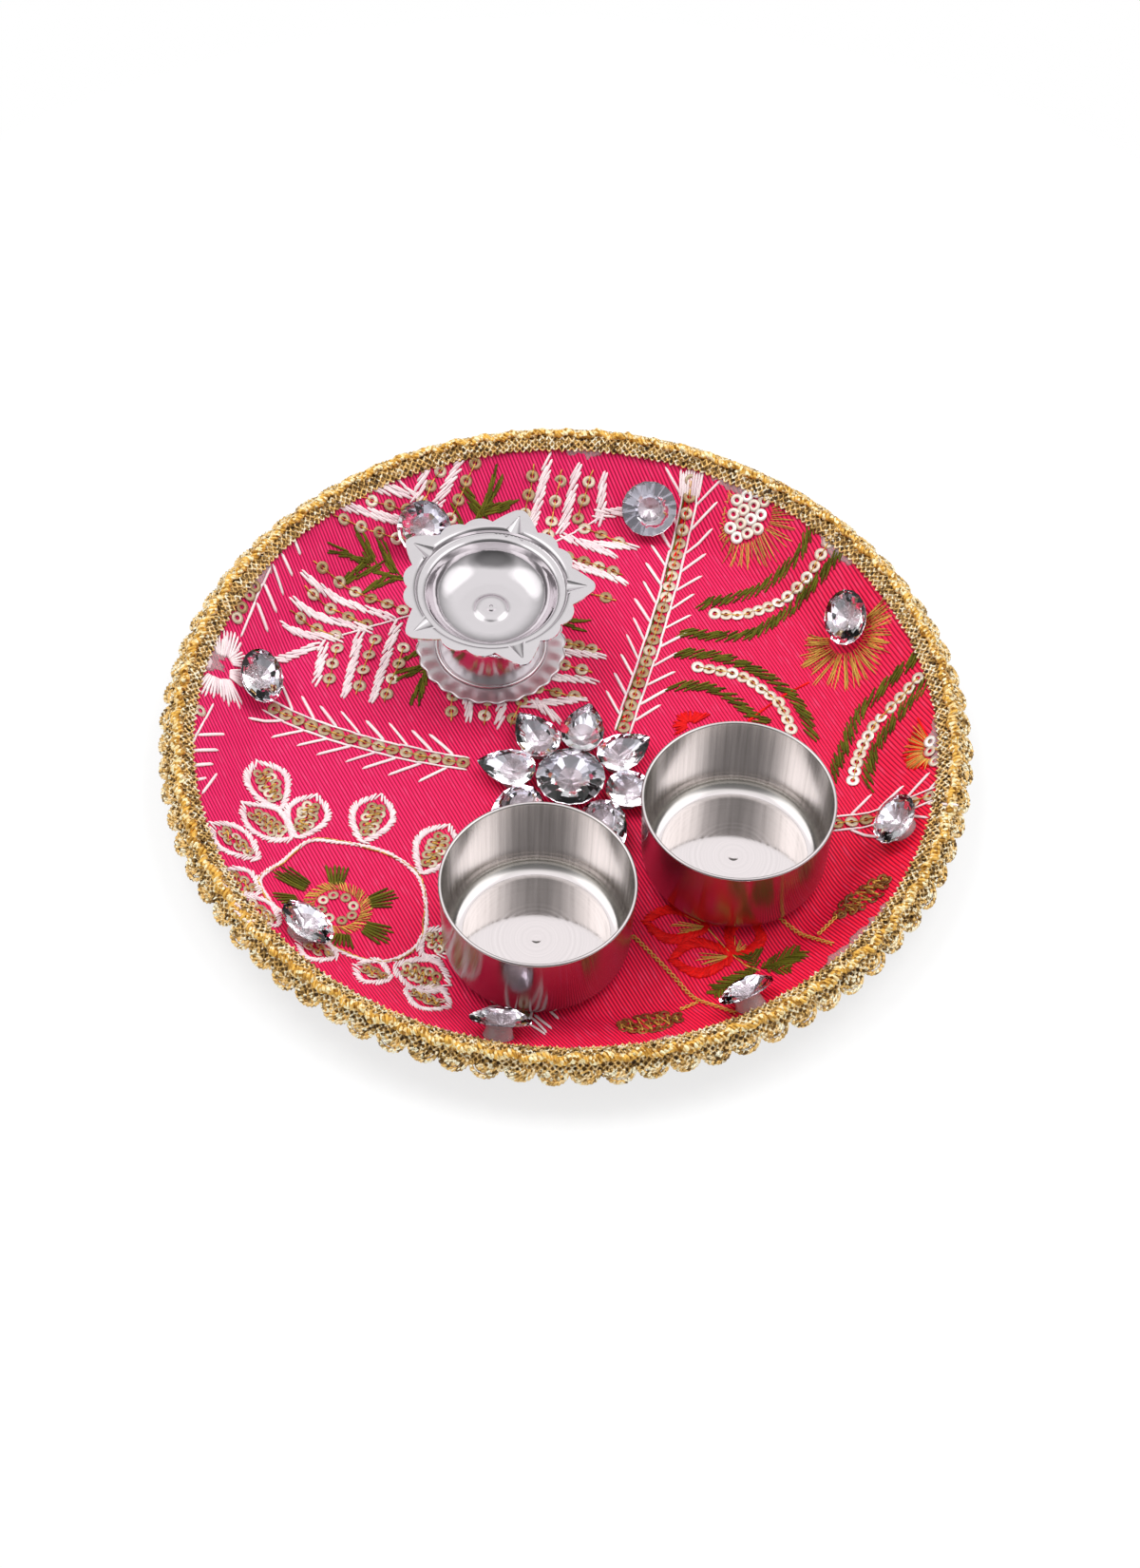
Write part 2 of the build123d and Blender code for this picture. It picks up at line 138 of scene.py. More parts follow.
def joined(*shapes):
    """Several shapes as one: points one after another, faces moved on by the points before them."""
    first = np.cumsum([0] + [len(shape.points) for shape in shapes])
    faces = [face + start for shape, start in zip(shapes, first) for face in shape.faces]
    points = np.concatenate([shape.points for shape in shapes])
    return Shape(points, faces, np.concatenate([shape.shade for shape in shapes]))


def unit(vectors):
    return vectors / np.maximum(np.linalg.norm(vectors, axis=-1, keepdims=True), 1e-9)


def turns(count):
    """Even angles once round, from 0."""
    return np.arange(count) * tau / count


def compass(angles):
    """Directions in plan: cosines and sines of angles."""
    return np.stack([np.cos(angles), np.sin(angles)], axis=-1)


def swept(path, up, half_width, half_height, sides, shade=None, loop=False):
    """Tubes with an oval profile. With t along the path, a round it and across = up x direction, a point is
    path(t) + across(t) half_width(t) cos a + up(t) half_height(t) sin a. path is (tubes, stations, 3)."""
    if loop:
        along = unit(np.roll(path, -1, axis=1) - np.roll(path, 1, axis=1))
    else:
        along = unit(np.gradient(path, axis=1))
    across = unit(np.cross(up, along))
    rise = np.cross(along, across)
    cosine, sine = compass(turns(sides)).T[..., None]
    wide, high = (np.broadcast_to(half, path.shape[:2])[..., None] for half in (half_width, half_height))
    ring = path[:, :, None] + (across * wide)[:, :, None] * cosine
    return skin(ring + (rise * high)[:, :, None] * sine, shade, loop)


def make_piece(name, shape, finish, nodes=(), body="thali", smooth=True):
    """Puts a shape into a mesh, gives it its finish and lets it ride on its body."""
    mesh = bpy.data.meshes.new(name)
    counts = np.concatenate([np.full(len(face), face.shape[1]) for face in shape.faces])
    corners = np.concatenate([face.ravel() for face in shape.faces])
    starts = np.concatenate([[0], np.cumsum(counts)[:-1]])
    mesh.vertices.add(len(shape.points))
    mesh.vertices.foreach_set("co", (shape.points * mm).astype(np.float32).ravel())
    mesh.loops.add(len(corners))
    mesh.loops.foreach_set("vertex_index", corners.astype(np.int32))
    mesh.polygons.add(len(counts))
    mesh.polygons.foreach_set("loop_start", starts.astype(np.int32))
    mesh.polygons.foreach_set("use_smooth", np.full(len(counts), smooth))
    shade = mesh.attributes.new("shade", "FLOAT", "POINT")
    shade.data.foreach_set("value", shape.shade.astype(np.float32))
    mesh.update(calc_edges=True)
    if mesh.validate():
        raise RuntimeError(f"{name} has faces that are not valid")
    piece = bpy.data.objects.new(name, mesh)
    bpy.context.scene.collection.objects.link(piece)
    mesh.materials.append(finish)
    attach(piece, body)
    if nodes:
        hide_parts(*nodes)
    return piece


# Places on the cloth and on the lace


def on_cover(places, lift):
    """Points lifted off the cover over places in plan, and the cover's normals there. With the radius, the
    cover is flat, then bends with radius bend_radius to wall_slope, then rises straight."""
    radius = np.linalg.norm(places, axis=-1)
    lean = np.arcsin(np.clip((radius - flat_radius) / bend_radius, 0, math.sin(wall_slope)))
    height = cover_top + bend_radius * (1 - np.cos(lean))
    height = height + np.maximum(radius - wall_start, 0) * math.tan(wall_slope)
    outward = places / np.maximum(radius, 1e-9)[..., None]
    normal = np.concatenate([-outward * np.sin(lean)[..., None], np.cos(lean)[..., None]], axis=-1)
    points = np.concatenate([places, height[..., None]], axis=-1)
    return points + normal * np.asarray(lift)[..., None], normal


vessels = [node_middle(name) for name in ("katori_left", "katori_right", "diya_foot")]


def headroom(places, height):
    """The height of thread at places in plan, held down to room_under where a bowl or the lamp stands."""
    for middle, half in vessels:
        under = np.linalg.norm(places - middle, axis=-1) < half + 0.5
        height = np.where(under, np.minimum(height, room_under), height)
    return height


def on_lace(bearing, across, lift):
    """Points over the lace's strip: bearing round the plate, across from its inner edge, lift off its lower
    face. The strip's profile climbs lace_lap at wall_slope, turns by lace_turn with radius lace_roll, and
    then runs straight."""
    heading = wall_slope - np.clip((across - lace_lap) / lace_roll, 0, lace_turn)
    lap = np.minimum(across, lace_lap)
    apron = np.maximum(across - lace_lap - lace_roll * lace_turn, 0)
    radius = lace_inner[0] + lap * math.cos(wall_slope)
    radius = radius + lace_roll * (math.sin(wall_slope) - np.sin(heading))
    radius = radius + apron * np.cos(heading) - np.sin(heading) * lift
    height = lace_inner[1] + lap * math.sin(wall_slope)
    height = height + lace_roll * (np.cos(heading) - math.cos(wall_slope))
    height = height + apron * np.sin(heading) + np.cos(heading) * lift
    bearing, radius, height = np.broadcast_arrays(bearing, radius, height)
    return np.concatenate([radius[..., None] * compass(bearing), height[..., None]], axis=-1)


def lace_normal(bearing, across):
    """The lace's normals: the difference of two points at one place, one lifted off the other."""
    return on_lace(bearing, across, 1.0) - on_lace(bearing, across, 0.0)


def smooth_path(places, spacing):
    """A smooth line through given places: a Catmull-Rom curve, cut at even steps of about spacing."""
    p = np.asarray(places, float)
    p = np.vstack([2 * p[0] - p[1], p, 2 * p[-1] - p[-2]])
    a, b, c, d = (p[k : len(p) - 3 + k, None] for k in range(4))
    t = np.linspace(0, 1, 17)[:-1, None]
    fine = b + (c - a) * t / 2 + (2 * a - 5 * b + 4 * c - d) * t**2 / 2 + (3 * b - a - 3 * c + d) * t**3 / 2
    fine = np.vstack([fine.reshape(-1, 2), p[-2]])
    run = np.concatenate([[0], np.cumsum(np.linalg.norm(np.diff(fine, axis=0), axis=1))])
    at = np.linspace(0, run[-1], max(2, round(run[-1] / spacing) + 1))
    return np.column_stack([np.interp(at, run, fine[:, 0]), np.interp(at, run, fine[:, 1])])


def headings(path):
    """Directions along a path in plan, and the directions a quarter turn to the left of them."""
    along = unit(np.gradient(path, axis=0))
    return along, np.column_stack([-along[:, 1], along[:, 0]])


def turned(directions, angles):
    """Directions in plan turned anticlockwise by angles in degrees."""
    c, s = np.cos(np.radians(angles)), np.sin(np.radians(angles))
    x, y = directions[..., 0], directions[..., 1]
    return np.stack([x * c - y * s, x * s + y * c], axis=-1)


def span(base, tip):
    """Two places in plan as arrays, the direction from the first to the second, and a quarter turn left of
    it."""
    base, tip = np.asarray(base, float), np.asarray(tip, float)
    along = unit(tip - base)
    return base, tip, along, turned(along, 90.0)


# Stitches and sequins


def stitches(starts, ends, width, height, rng):
    """Straight stitches on the cover, from starts to ends in plan. With e from -1 to 1 along a stitch, it
    swells by the root of 1 - 0.9 e^8 and its middle rises by half its height times 1 - e^6, so both ends
    dip in."""
    starts, ends = np.atleast_2d(starts).astype(float), np.atleast_2d(ends).astype(float)
    e = np.array([-1.0, -0.8, 0.0, 0.8, 1.0])
    plan = (starts[:, None] + ends[:, None]) / 2 + (ends - starts)[:, None] / 2 * e[:, None]
    tall = headroom(plan, height * rng.uniform(0.85, 1.1, (len(starts), 1)))
    path, up = on_cover(plan, tall / 2 * (1 - e**6))
    swell = np.sqrt(1 - 0.9 * e**8) / 2
    wide = width * rng.uniform(0.85, 1.15, (len(starts), 1)) * swell
    return swept(path, up, wide, tall * swell, 6, rng.uniform(0, 1, len(starts)))


def run_of_stitches(places, length, width, height, rng):
    """A line of stitches end to end along a smooth path, each a little past its neighbour's hole."""
    path = smooth_path(places, length)
    step = np.diff(path, axis=0)
    aside = np.column_stack([-step[:, 1], step[:, 0]]) * rng.uniform(-0.03, 0.03, (len(step), 1))
    return stitches(path[:-1] - step * 0.08 + aside, path[1:] + step * 0.08 + aside, width, height, rng)


def twisted(places, pitch, width, rng):
    """Two threads twisted round each other along a path in plan. With p = tau s / pitch at the length s, a
    thread stands 0.5 sin p aside and 0.45 + 0.2 cos p off the cloth, and the other one is half a turn
    on."""
    path = smooth_path(places, pitch / 8)
    p = np.arange(len(path)) * tau / 8 + np.array([[0.0], [math.pi]])
    plan = path + headings(path)[1] * 0.5 * np.sin(p)[..., None]
    full = 0.85
    tall = headroom(plan, full) / full
    points, up = on_cover(plan, tall * (0.45 + 0.2 * np.cos(p)))
    return swept(points, up, width, tall * 0.2, 6, rng.uniform(0.5, 1, 2))


def column(places, rows, gap, length, slant, pitch, width, height, rng, taper=0.45):
    """A filled column along a path: rows of parallel stitches side by side, each slanted from the path's
    direction, staggered from row to row, and drawn together towards the tip by taper."""
    path = smooth_path(places, pitch)
    along, left = headings(path)
    share = np.linspace(0, 1, len(path))[:, None]
    row = np.arange(rows) - (rows - 1) / 2
    every = (len(path), rows)
    middle = path[:, None] + left[:, None] * (row * gap * (1 - taper * share))[..., None]
    stagger = row * 0.31 * pitch + rng.uniform(-0.3, 0.3, every) * pitch
    middle = middle + along[:, None] * stagger[..., None]
    aim = turned(np.repeat(along[:, None], rows, axis=1), slant + rng.uniform(-5, 5, every))
    reach = aim * (length / 2 * rng.uniform(0.82, 1.1, every))[..., None]
    return stitches((middle - reach).reshape(-1, 2), (middle + reach).reshape(-1, 2), width, height, rng)


def tuft(base, tip, count, base_half, tip_half, width, height, rng):
    """Long stitches side by side from a base to a tip: they start across the base by base_half either way
    and end across the tip by tip_half, at uneven lengths."""
    base, tip, _, left = span(base, tip)
    share = np.linspace(-1, 1, count)[:, None]
    uneven = rng.uniform(-0.22, 0.08, (count, 1)) - 0.08 * share**2
    ends = tip + left * share * tip_half + (tip - base) * uneven
    return stitches(base + left * share * base_half, ends, width, height, rng)


def rays(middle, tips, count, inner, width, height, rng):
    """Stitches fanned out from a middle, from inner to a reach that runs between the tips, given in turn
    round it."""
    middle = np.asarray(middle, float)
    reach = np.asarray(tips, float) - middle
    bearing = np.unwrap(np.arctan2(reach[:, 1], reach[:, 0]))
    order = np.argsort(bearing)
    at = np.linspace(bearing.min(), bearing.max(), count) + rng.uniform(-0.03, 0.03, count)
    far = np.interp(at, bearing[order], np.linalg.norm(reach, axis=1)[order])
    far = far * rng.uniform(0.82, 1.06, count)
    aim = compass(at)
    bend = turned(aim, rng.uniform(-7, 7, count))
    return stitches(middle + aim * inner, middle + bend * far[:, None], width, height, rng)


def sequins(places, outer, hole, rng, lift=0.4, lean=9.0):
    """Ring sequins: flat rings of four-cornered section, round bearing b, each leaning by up to lean
    degrees. A point is middle + (u cos b + v sin b) radius + normal height, with the corners in radius and
    height."""
    places = np.atleast_2d(places).astype(float)
    count = len(places)
    middle, normal = on_cover(places, headroom(places, lift * rng.uniform(0.8, 1.3, count)) * 0.8)
    tilt = np.tan(np.radians(rng.uniform(-lean, lean, (count, 2))))
    free = headroom(places, 1.0) > 0.9
    normal = unit(normal + np.column_stack([tilt * free[:, None], np.zeros(count)]))
    u = unit(np.cross(np.array([0.0, 1.0, 0.0]), normal))
    v = np.cross(normal, u)
    cosine, sine = compass(turns(14)).T[..., None]
    spoke = u[:, None] * cosine + v[:, None] * sine
    radius = np.array([hole / 2, outer / 2, outer / 2, hole / 2])[:, None]
    height = np.array([0.06, 0.03, -0.03, 0.0])[:, None]
    points = middle[:, None, None] + spoke[:, :, None] * radius + normal[:, None, None] * height
    return skin(points, rng.uniform(0, 1, count), loop=True)


def chain(start, end, count, thread, rng):
    """A chain of sequins with a zari thread through their holes, which ends in a short tail past the last
    one."""
    start, end, along, _ = span(start, end)
    step = (end - start) / max(count - 1, 1)
    places = start + step * np.arange(count)[:, None] + rng.uniform(-0.25, 0.25, (count, 2))
    tail = end + along * 3.0
    return sequins(places, thread.sequin, thread.hole, rng), zari(np.vstack([places, tail]), thread, rng)


def zari(places, thread, rng):
    """Gold thread laid from place to place: each span is two low stitches that meet a little aside of its
    middle."""
    places = np.asarray(places, float)
    middle = (places[:-1] + places[1:]) / 2 + rng.uniform(-0.3, 0.3, (len(places) - 1, 2))
    halves = (places[:-1], middle), (middle, places[1:])
    return joined(*(stitches(a, b, thread.zari * 1.25, 0.7, rng) for a, b in halves))


def toothed_border(base, tip, half_width, width, rng, tooth=2.0, pitch=0.85):
    """A border of short slanted stitches along a pointed oval that is blunter towards its tip. With s from
    0 to 1 up one side, the oval stands half_width sin(pi s^1.3)^0.75 off the line from base to tip; each
    stitch crosses it at about 40 degrees and ends in a tooth outside it."""
    base, tip, along, left = span(base, tip)
    long = np.linalg.norm(tip - base)
    s = np.linspace(0.02, 0.985, round((long + half_width) / pitch))
    off = half_width * np.sin(math.pi * s**1.3) ** 0.75
    sides = []
    for side in (-1, 1):
        edge = base + along * (long * s)[:, None] + left * (side * off)[:, None]
        aim = turned(unit(np.gradient(edge, axis=0)), side * rng.uniform(28, 50, len(s)))
        end = edge + aim * tooth * rng.uniform(0.8, 1.2, (len(s), 1))
        sides.append(stitches(edge - aim * 1.2, end, width, 0.5, rng))
    return joined(*sides)


def leaf(base, tip, half_width, thread, rng):
    """A leaf of the wreath: a white toothed border, with two rows of small sequins and zari inside it."""
    base, tip, _, left = span(base, tip)
    rows = max(3, round(np.linalg.norm(tip - base) / 3.1))
    at = np.repeat(np.linspace(0.24, 0.78, rows), 2)
    aside = np.tile([-0.31, 0.31], rows) * half_width * np.sin(math.pi * at**1.2)
    places = base + (tip - base) * at[:, None] + left * aside[:, None]
    places = places + rng.uniform(-0.35, 0.35, places.shape)
    rings = sequins(places, thread.leaf_sequin, thread.hole * 0.85, rng, lift=0.3)
    border = toothed_border(base, tip, half_width, thread.white * 0.85, rng, tooth=1.75)
    return border, rings, zari(places, thread, rng)


def fishbone(base, tip, half_width, width, rng):
    """A leaf of slanted stitches from its middle line forwards to both sides. At s along it, a stitch
    reaches half_width sin(pi (0.15 + 0.8 s)) aside, a little unevenly, and about as far again forwards."""
    base, tip, along, left = span(base, tip)
    s = np.linspace(0, 0.86, max(4, round(np.linalg.norm(tip - base) / 0.95)))[:, None]
    reach = half_width * np.sin(math.pi * (0.15 + 0.8 * s)) * rng.uniform(0.85, 1.12, s.shape)
    root = base + (tip - base) * s
    sides = []
    for side in (-1, 1):
        end = root + (left * side + along * rng.uniform(0.8, 1.2, s.shape)) * reach
        sides.append(stitches(root - left * side * 0.3, end, width, 0.45, rng))
    return joined(*sides)


def feather(places, thread, rng, barb=9.5, first=4.0):
    """A feathered vine along a path: a white line either side of it, barbs that leave each line at about 40
    degrees to the path's direction, and a chain of sequins with zari between the lines."""
    path = smooth_path(places, 1.0)
    along, left = headings(path)
    white = []
    for side in (-1, 1):
        line = path + left * side * thread.vine_half
        white.append(run_of_stitches(line, 6.8, thread.white, 0.45, rng))
        at = np.arange(first + (side > 0) * 1.2, len(path) - 2, 6.9).astype(int)
        aim = turned(along[at], side * rng.uniform(34, 42, len(at)))
        reach = barb * rng.uniform(0.92, 1.08, (len(at), 1))
        white.append(stitches(line[at], line[at] + aim * reach, thread.white * 1.3, 0.5, rng))
    at = np.arange(1, len(path), 4)
    return joined(*white), sequins(path[at], thread.sequin, thread.hole, rng), zari(path[at], thread, rng)


# Materials


def node(tree, kind, inputs=(), out=0, **settings):
    """Adds one shader node and gives back one of its outputs, by name or number. settings go to its
    properties; inputs, by socket name or number, are values or links."""
    made = tree.nodes.new("ShaderNode" + kind)
    for name, value in settings.items():
        setattr(made, name, value)
    for name, value in dict(inputs).items():
        if isinstance(value, bpy.types.NodeSocket):
            tree.links.new(value, made.inputs[name])
        else:
            made.inputs[name].default_value = value
    return made.outputs[out] if len(made.outputs) else None


def finish(name):
    """A new material with an empty node tree, and what adds nodes to that tree."""
    material = bpy.data.materials.new(name)
    material.use_nodes = True
    material.node_tree.nodes.clear()
    return material, partial(node, material.node_tree)


def surfaced(material, shader):
    """The material, with the shader as its surface."""
    node(material.node_tree, "OutputMaterial", {"Surface": shader})
    return material


def per(size):
    """The scale of a texture whose pattern has this size in millimetres."""
    return 1 / (size * mm)


def ribbed_satin(cloth):
    """Ribbed satin, woven from shot yarn: fine slanted ribs. Its colour is painted by place: hot pink where
    it turns to the left and back and crimson to the front right, painted sheen and shade for how the shot
    satin takes the light; pale streaks along the ribs, a painted sheen; and dark grooves between them,
    painted shade. Ribs are 0.7 apart on the cloth, drawn at rib_pitch to show."""
    material, add = finish("ribbed_satin")
    hues = (cloth.pink, cloth.crimson, cloth.sheen_streak, cloth.groove_shade)
    pink, crimson, bright, dark = ((*hue, 1) for hue in hues)
    place = add("TexCoord", out="Object")
    ribs = add("Mapping", {"Vector": place, "Rotation": (0, 0, math.radians(60.6))})
    wave = {"Vector": ribs, "Scale": math.pi / 10 / cloth.rib_pitch}
    wave |= {"Distortion": 0.6, "Detail": 1.0, "Detail Scale": 0.4}
    wave = add("TexWave", wave, "Fac", bands_direction="Y")
    slant = (0, 0, math.radians(40))
    drift = add("Mapping", {"Vector": place, "Location": (-0.03, 0.055, 0), "Rotation": slant})
    across = add("SeparateXYZ", {0: drift}, "X")
    cloudy = add("TexNoise", {"Vector": place, "Scale": per(71.43)})
    offset = add("Math", {0: cloudy, 1: 0.06, 2: across}, operation="MULTIPLY_ADD")
    # Pink to crimson by place across the plate: painted sheen and shade of the shot satin
    red = add("MapRange", {"Value": offset, "From Min": -0.07, "From Max": 0.11})
    ground = add("Mix", {0: red, 6: pink, 7: crimson}, 2, data_type="RGBA")
    grain = add("Mapping", {"Vector": ribs, "Scale": (per(5.882), per(1), 1)})
    sheen_streak = add("TexNoise", {"Vector": grain, "Scale": 1.0})
    # Pale streaks along the ribs: painted sheen
    pale = add("MapRange", {"Value": sheen_streak, "From Min": 0.54, "From Max": 0.8, "To Max": 0.34})
    silk = add("Mix", {0: pale, 6: ground, 7: bright}, 2, data_type="RGBA")
    # Dark grooves between the ribs: painted shade
    groove_shade = add("MapRange", {"Value": wave, "From Max": 0.62, "To Min": 0.9, "To Max": 0.0})
    colour = add("Mix", {0: groove_shade, 6: silk, 7: dark}, 2, data_type="RGBA")
    bump = add("Bump", {"Height": wave, "Strength": 0.5, "Distance": 0.2 * mm})
    sheen = {"Sheen Weight": 0.03, "Sheen Roughness": 0.4, "Sheen Tint": linear("#FF9FC0")}
    look = {"Base Color": colour, "Roughness": 0.5, "Specular IOR Level": 0.1, "Normal": bump, **sheen}
    return surfaced(material, add("BsdfPrincipled", look))


def spun_thread(name, dark, bright, roughness, metallic=0.0, sheen=0.0):
    """Spun thread: every stitch has its own shade between a dark and a bright one, with a soft sheen on
    cotton and silk, or a metal's glint on zari. A fine noise also moves the colour along each thread: fuzz
    on cotton and silk, and on zari, whose dark and bright lie far apart, painted glints and painted shade."""
    material, add = finish(name)
    shade = add("Attribute", out="Fac", attribute_name="shade")
    place = add("TexCoord", out="Object")
    # Fine noise: fuzz on cotton and silk, painted glints and painted shade on zari
    fuzz_and_glint = add("TexNoise", {"Vector": place, "Scale": per(0.45455), "Detail": 1.0})
    mixed = add("Math", {0: shade, 1: 0.55, 2: -0.05}, operation="MULTIPLY_ADD")
    mixed = add("Math", {0: fuzz_and_glint, 1: 0.6, 2: mixed}, operation="MULTIPLY_ADD")
    colour = add("Mix", {0: mixed, 6: linear(dark), 7: linear(bright)}, 2, data_type="RGBA")
    bump = add("Bump", {"Height": fuzz_and_glint, "Strength": 0.35, "Distance": 0.1 * mm})
    look = {"Base Color": colour, "Roughness": roughness, "Metallic": metallic, "Sheen Weight": sheen}
    look |= {"Specular IOR Level": 0.5 if metallic else 0.12, "Normal": bump}
    return surfaced(material, add("BsdfPrincipled", look))


def foil_sequin(name, dark, bright):
    """Pressed foil sequins: beige to pale gold plastic with a metal film, which glints where one leans to
    the light."""
    material, add = finish(name)
    shade = add("Attribute", out="Fac", attribute_name="shade")
    lighter = add("Math", {0: shade, 1: 2.2}, operation="POWER")
    colour = add("Mix", {0: lighter, 6: linear(dark), 7: linear(bright)}, 2, data_type="RGBA")
    coat = {"Coat Weight": 0.4, "Coat Roughness": 0.1}
    look = {"Base Color": colour, "Roughness": 0.28, "Metallic": 0.35, **coat}
    return surfaced(material, add("BsdfPrincipled", look))


def metallic_yarn(name, painted_shadow, gold, pale, grit):
    """Lurex yarn: flat metal foil wound round a core. Its tiny facets are painted into the colour: some
    cells flash pale, a painted glint, and some sink to brown, a painted shadow, with gold between. The
    facets are about 0.3 long on the yarn, drawn grit apart so that they show."""
    material, add = finish(name)
    place = add("TexCoord", out="Object")
    cells = add("TexVoronoi", {"Vector": place, "Scale": 1 / grit}, "Color")
    flash = add("SeparateColor", {0: cells})
    # low blends from the painted shadow to gold, high from there to the pale painted glint
    low = add("MapRange", {"Value": flash, "From Max": 0.45})
    high = add("MapRange", {"Value": flash, "From Min": 0.55, "From Max": 0.85})
    dull = add("Mix", {0: low, 6: linear(painted_shadow), 7: linear(gold)}, 2, data_type="RGBA")
    colour = add("Mix", {0: high, 6: dull, 7: linear(pale)}, 2, data_type="RGBA")
    bump = add("Bump", {"Height": flash, "Strength": 0.6, "Distance": 0.2 * mm})
    look = {"Base Color": colour, "Metallic": 0.4, "Roughness": 0.35, "Normal": bump}
    return surfaced(material, add("BsdfPrincipled", look))


def spun_steel(name, vessel, metal):
    """Spun stainless steel: fine rings round the floor, streaks up the wall from the drawing tool, and an
    outside that draws its reflections out upwards. The inside wall is a darker steel than the floor, painted
    shade for the dimmer surroundings it mirrors; the outside is darker still, partly its own steel and
    partly painted shade for the shaded cloth it mirrors, and darkens more over the lowest 4, painted shade
    from under it. All are turned round the vessel's own axis: the angle and the radius come from the place
    less its middle. The rings are about 0.2 apart on the steel and are drawn 0.7 apart to show. The streaks
    are about 1.1 apart."""
    middle, foot = node_middle(vessel)[0] * mm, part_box(vessel)[0][2]
    material, add = finish(name)
    place = add("TexCoord", out="Object")
    local = add("Mapping", {"Vector": place, "Location": (-middle[0], -middle[1], 0)})
    height = add("SeparateXYZ", {0: local}, "Z")
    flat = add("VectorMath", {0: local, 1: (1, 1, 0)}, operation="MULTIPLY")
    radius = add("VectorMath", {0: flat}, "Value", operation="LENGTH")
    aim = add("VectorMath", {0: flat}, operation="NORMALIZE")
    lift = add("Math", {0: height, 1: 12.0}, operation="MULTIPLY")
    upright = add("CombineXYZ", {"Z": lift})
    wall = add("VectorMath", {0: aim, 1: (14, 14, 0), 2: upright}, operation="MULTIPLY_ADD")
    streaks = add("TexNoise", {"Vector": wall, "Scale": 1.6, "Detail": 4.0})
    rings = add("TexNoise", {"W": radius, "Scale": per(0.71429)}, noise_dimensions="1D")
    normal = add("NewGeometry", out="True Normal")
    facing = add("SeparateXYZ", {0: normal}, "Z")
    level = add("MapRange", {"Value": facing, "From Min": 0.3, "From Max": 0.8})
    worked = add("Mix", {0: level, 2: streaks, 3: rings})
    grey = add("MapRange", {"Value": worked, "From Min": 0.25, "From Max": 0.75})
    outward = add("VectorMath", {0: normal, 1: aim}, "Value", operation="DOT_PRODUCT")
    inside = add("MapRange", {"Value": outward, "From Min": -0.3, "From Max": -0.7})
    outside = add("MapRange", {"Value": outward, "From Min": 0.2, "From Max": 0.6})
    ground = add("Mix", {0: grey, 6: linear("#E9E1E2"), 7: linear("#F1E9EA")}, 2, data_type="RGBA")
    # The inside wall's steel is darker than the floor's: painted shade
    drawn = add("Mix", {0: grey, 6: linear("#C6C2BE"), 7: linear("#E8E4E0")}, 2, data_type="RGBA")
    above = add("MapRange", {"Value": height, "From Min": foot, "From Max": foot + 4 * mm})
    # The outside: a darker steel, partly painted shade for the cloth it mirrors, and darker still over its
    # lowest 4, painted shade from under the bowl
    outside_painted_shade = add("Mix", {0: above, 6: linear("#5A4A4E"), 7: linear("#B4A9AB")}, 2, data_type="RGBA")
    colour = add("Mix", {0: inside, 6: ground, 7: drawn}, 2, data_type="RGBA")
    colour = add("Mix", {0: outside, 6: colour, 7: outside_painted_shade}, 2, data_type="RGBA")
    dull = add("MapRange", {"Value": inside, "To Min": metal.steel_smooth, "To Max": metal.steel_rough})
    uneven = {"Value": worked, "From Min": 0.3, "From Max": 0.7, "To Min": -0.025, "To Max": 0.025}
    dull = add("Math", {0: dull, 1: add("MapRange", uneven)})
    dull = add("Mix", {0: outside, 2: dull, 3: metal.steel_outside})
    drag = add("Math", {0: outside, 1: 0.9}, operation="MULTIPLY")
    upwards = add("CombineXYZ", {"Z": 1.0})
    bump = add("Bump", {"Height": worked, "Strength": 0.02, "Distance": 0.1 * mm})
    look = {"Base Color": colour, "Metallic": 1.0, "Roughness": dull, "Normal": bump}
    return surfaced(material, add("BsdfPrincipled", {**look, "Anisotropic": drag, "Tangent": upwards}))


def pressed_sheet(name, smooth, flat_rough):
    """Thin nickelled sheet, pressed and left unpolished: bright and softly dented, duller where it lies
    flat."""
    material, add = finish(name)
    place = add("TexCoord", out="Object")
    dents = add("TexNoise", {"Vector": place, "Scale": per(6.25)})
    facing = add("SeparateXYZ", {0: add("NewGeometry", out="True Normal")}, "Z")
    dull = {"Value": facing, "From Min": 0.985, "From Max": 0.998, "To Min": smooth, "To Max": flat_rough}
    dull = add("MapRange", dull)
    bump = add("Bump", {"Height": dents, "Strength": 0.2, "Distance": 0.5 * mm})
    look = {"Base Color": linear("#DDD8DB"), "Metallic": 1.0, "Roughness": dull, "Normal": bump}
    return surfaced(material, add("BsdfPrincipled", look))


def clear_acrylic(stone):
    """Moulded acrylic stone: clear, with flat facets and a very faint haze."""
    material, add = finish("clear_acrylic")
    haze = add("TexNoise", {"Vector": add("TexCoord", out="Object"), "Scale": per(2.5)})
    dull = add("MapRange", {"Value": haze, "To Max": 0.02})
    look = {"Base Color": (*stone.tint, 1), "Roughness": dull, "IOR": 1.49, "Transmission Weight": 1.0}
    return surfaced(material, add("BsdfPrincipled", look))


def silver_foil():
    """Vacuum-silvered back of a stone: a mirror film, a little uneven."""
    material, add = finish("silver_foil")
    worn = add("TexNoise", {"Vector": add("TexCoord", out="Object"), "Scale": per(3.3333)})
    dull = add("MapRange", {"Value": worn, "To Max": 0.06})
    look = {"Base Color": linear("#F4F3F8"), "Metallic": 1.0, "Roughness": dull}
    return surfaced(material, add("BsdfPrincipled", look))


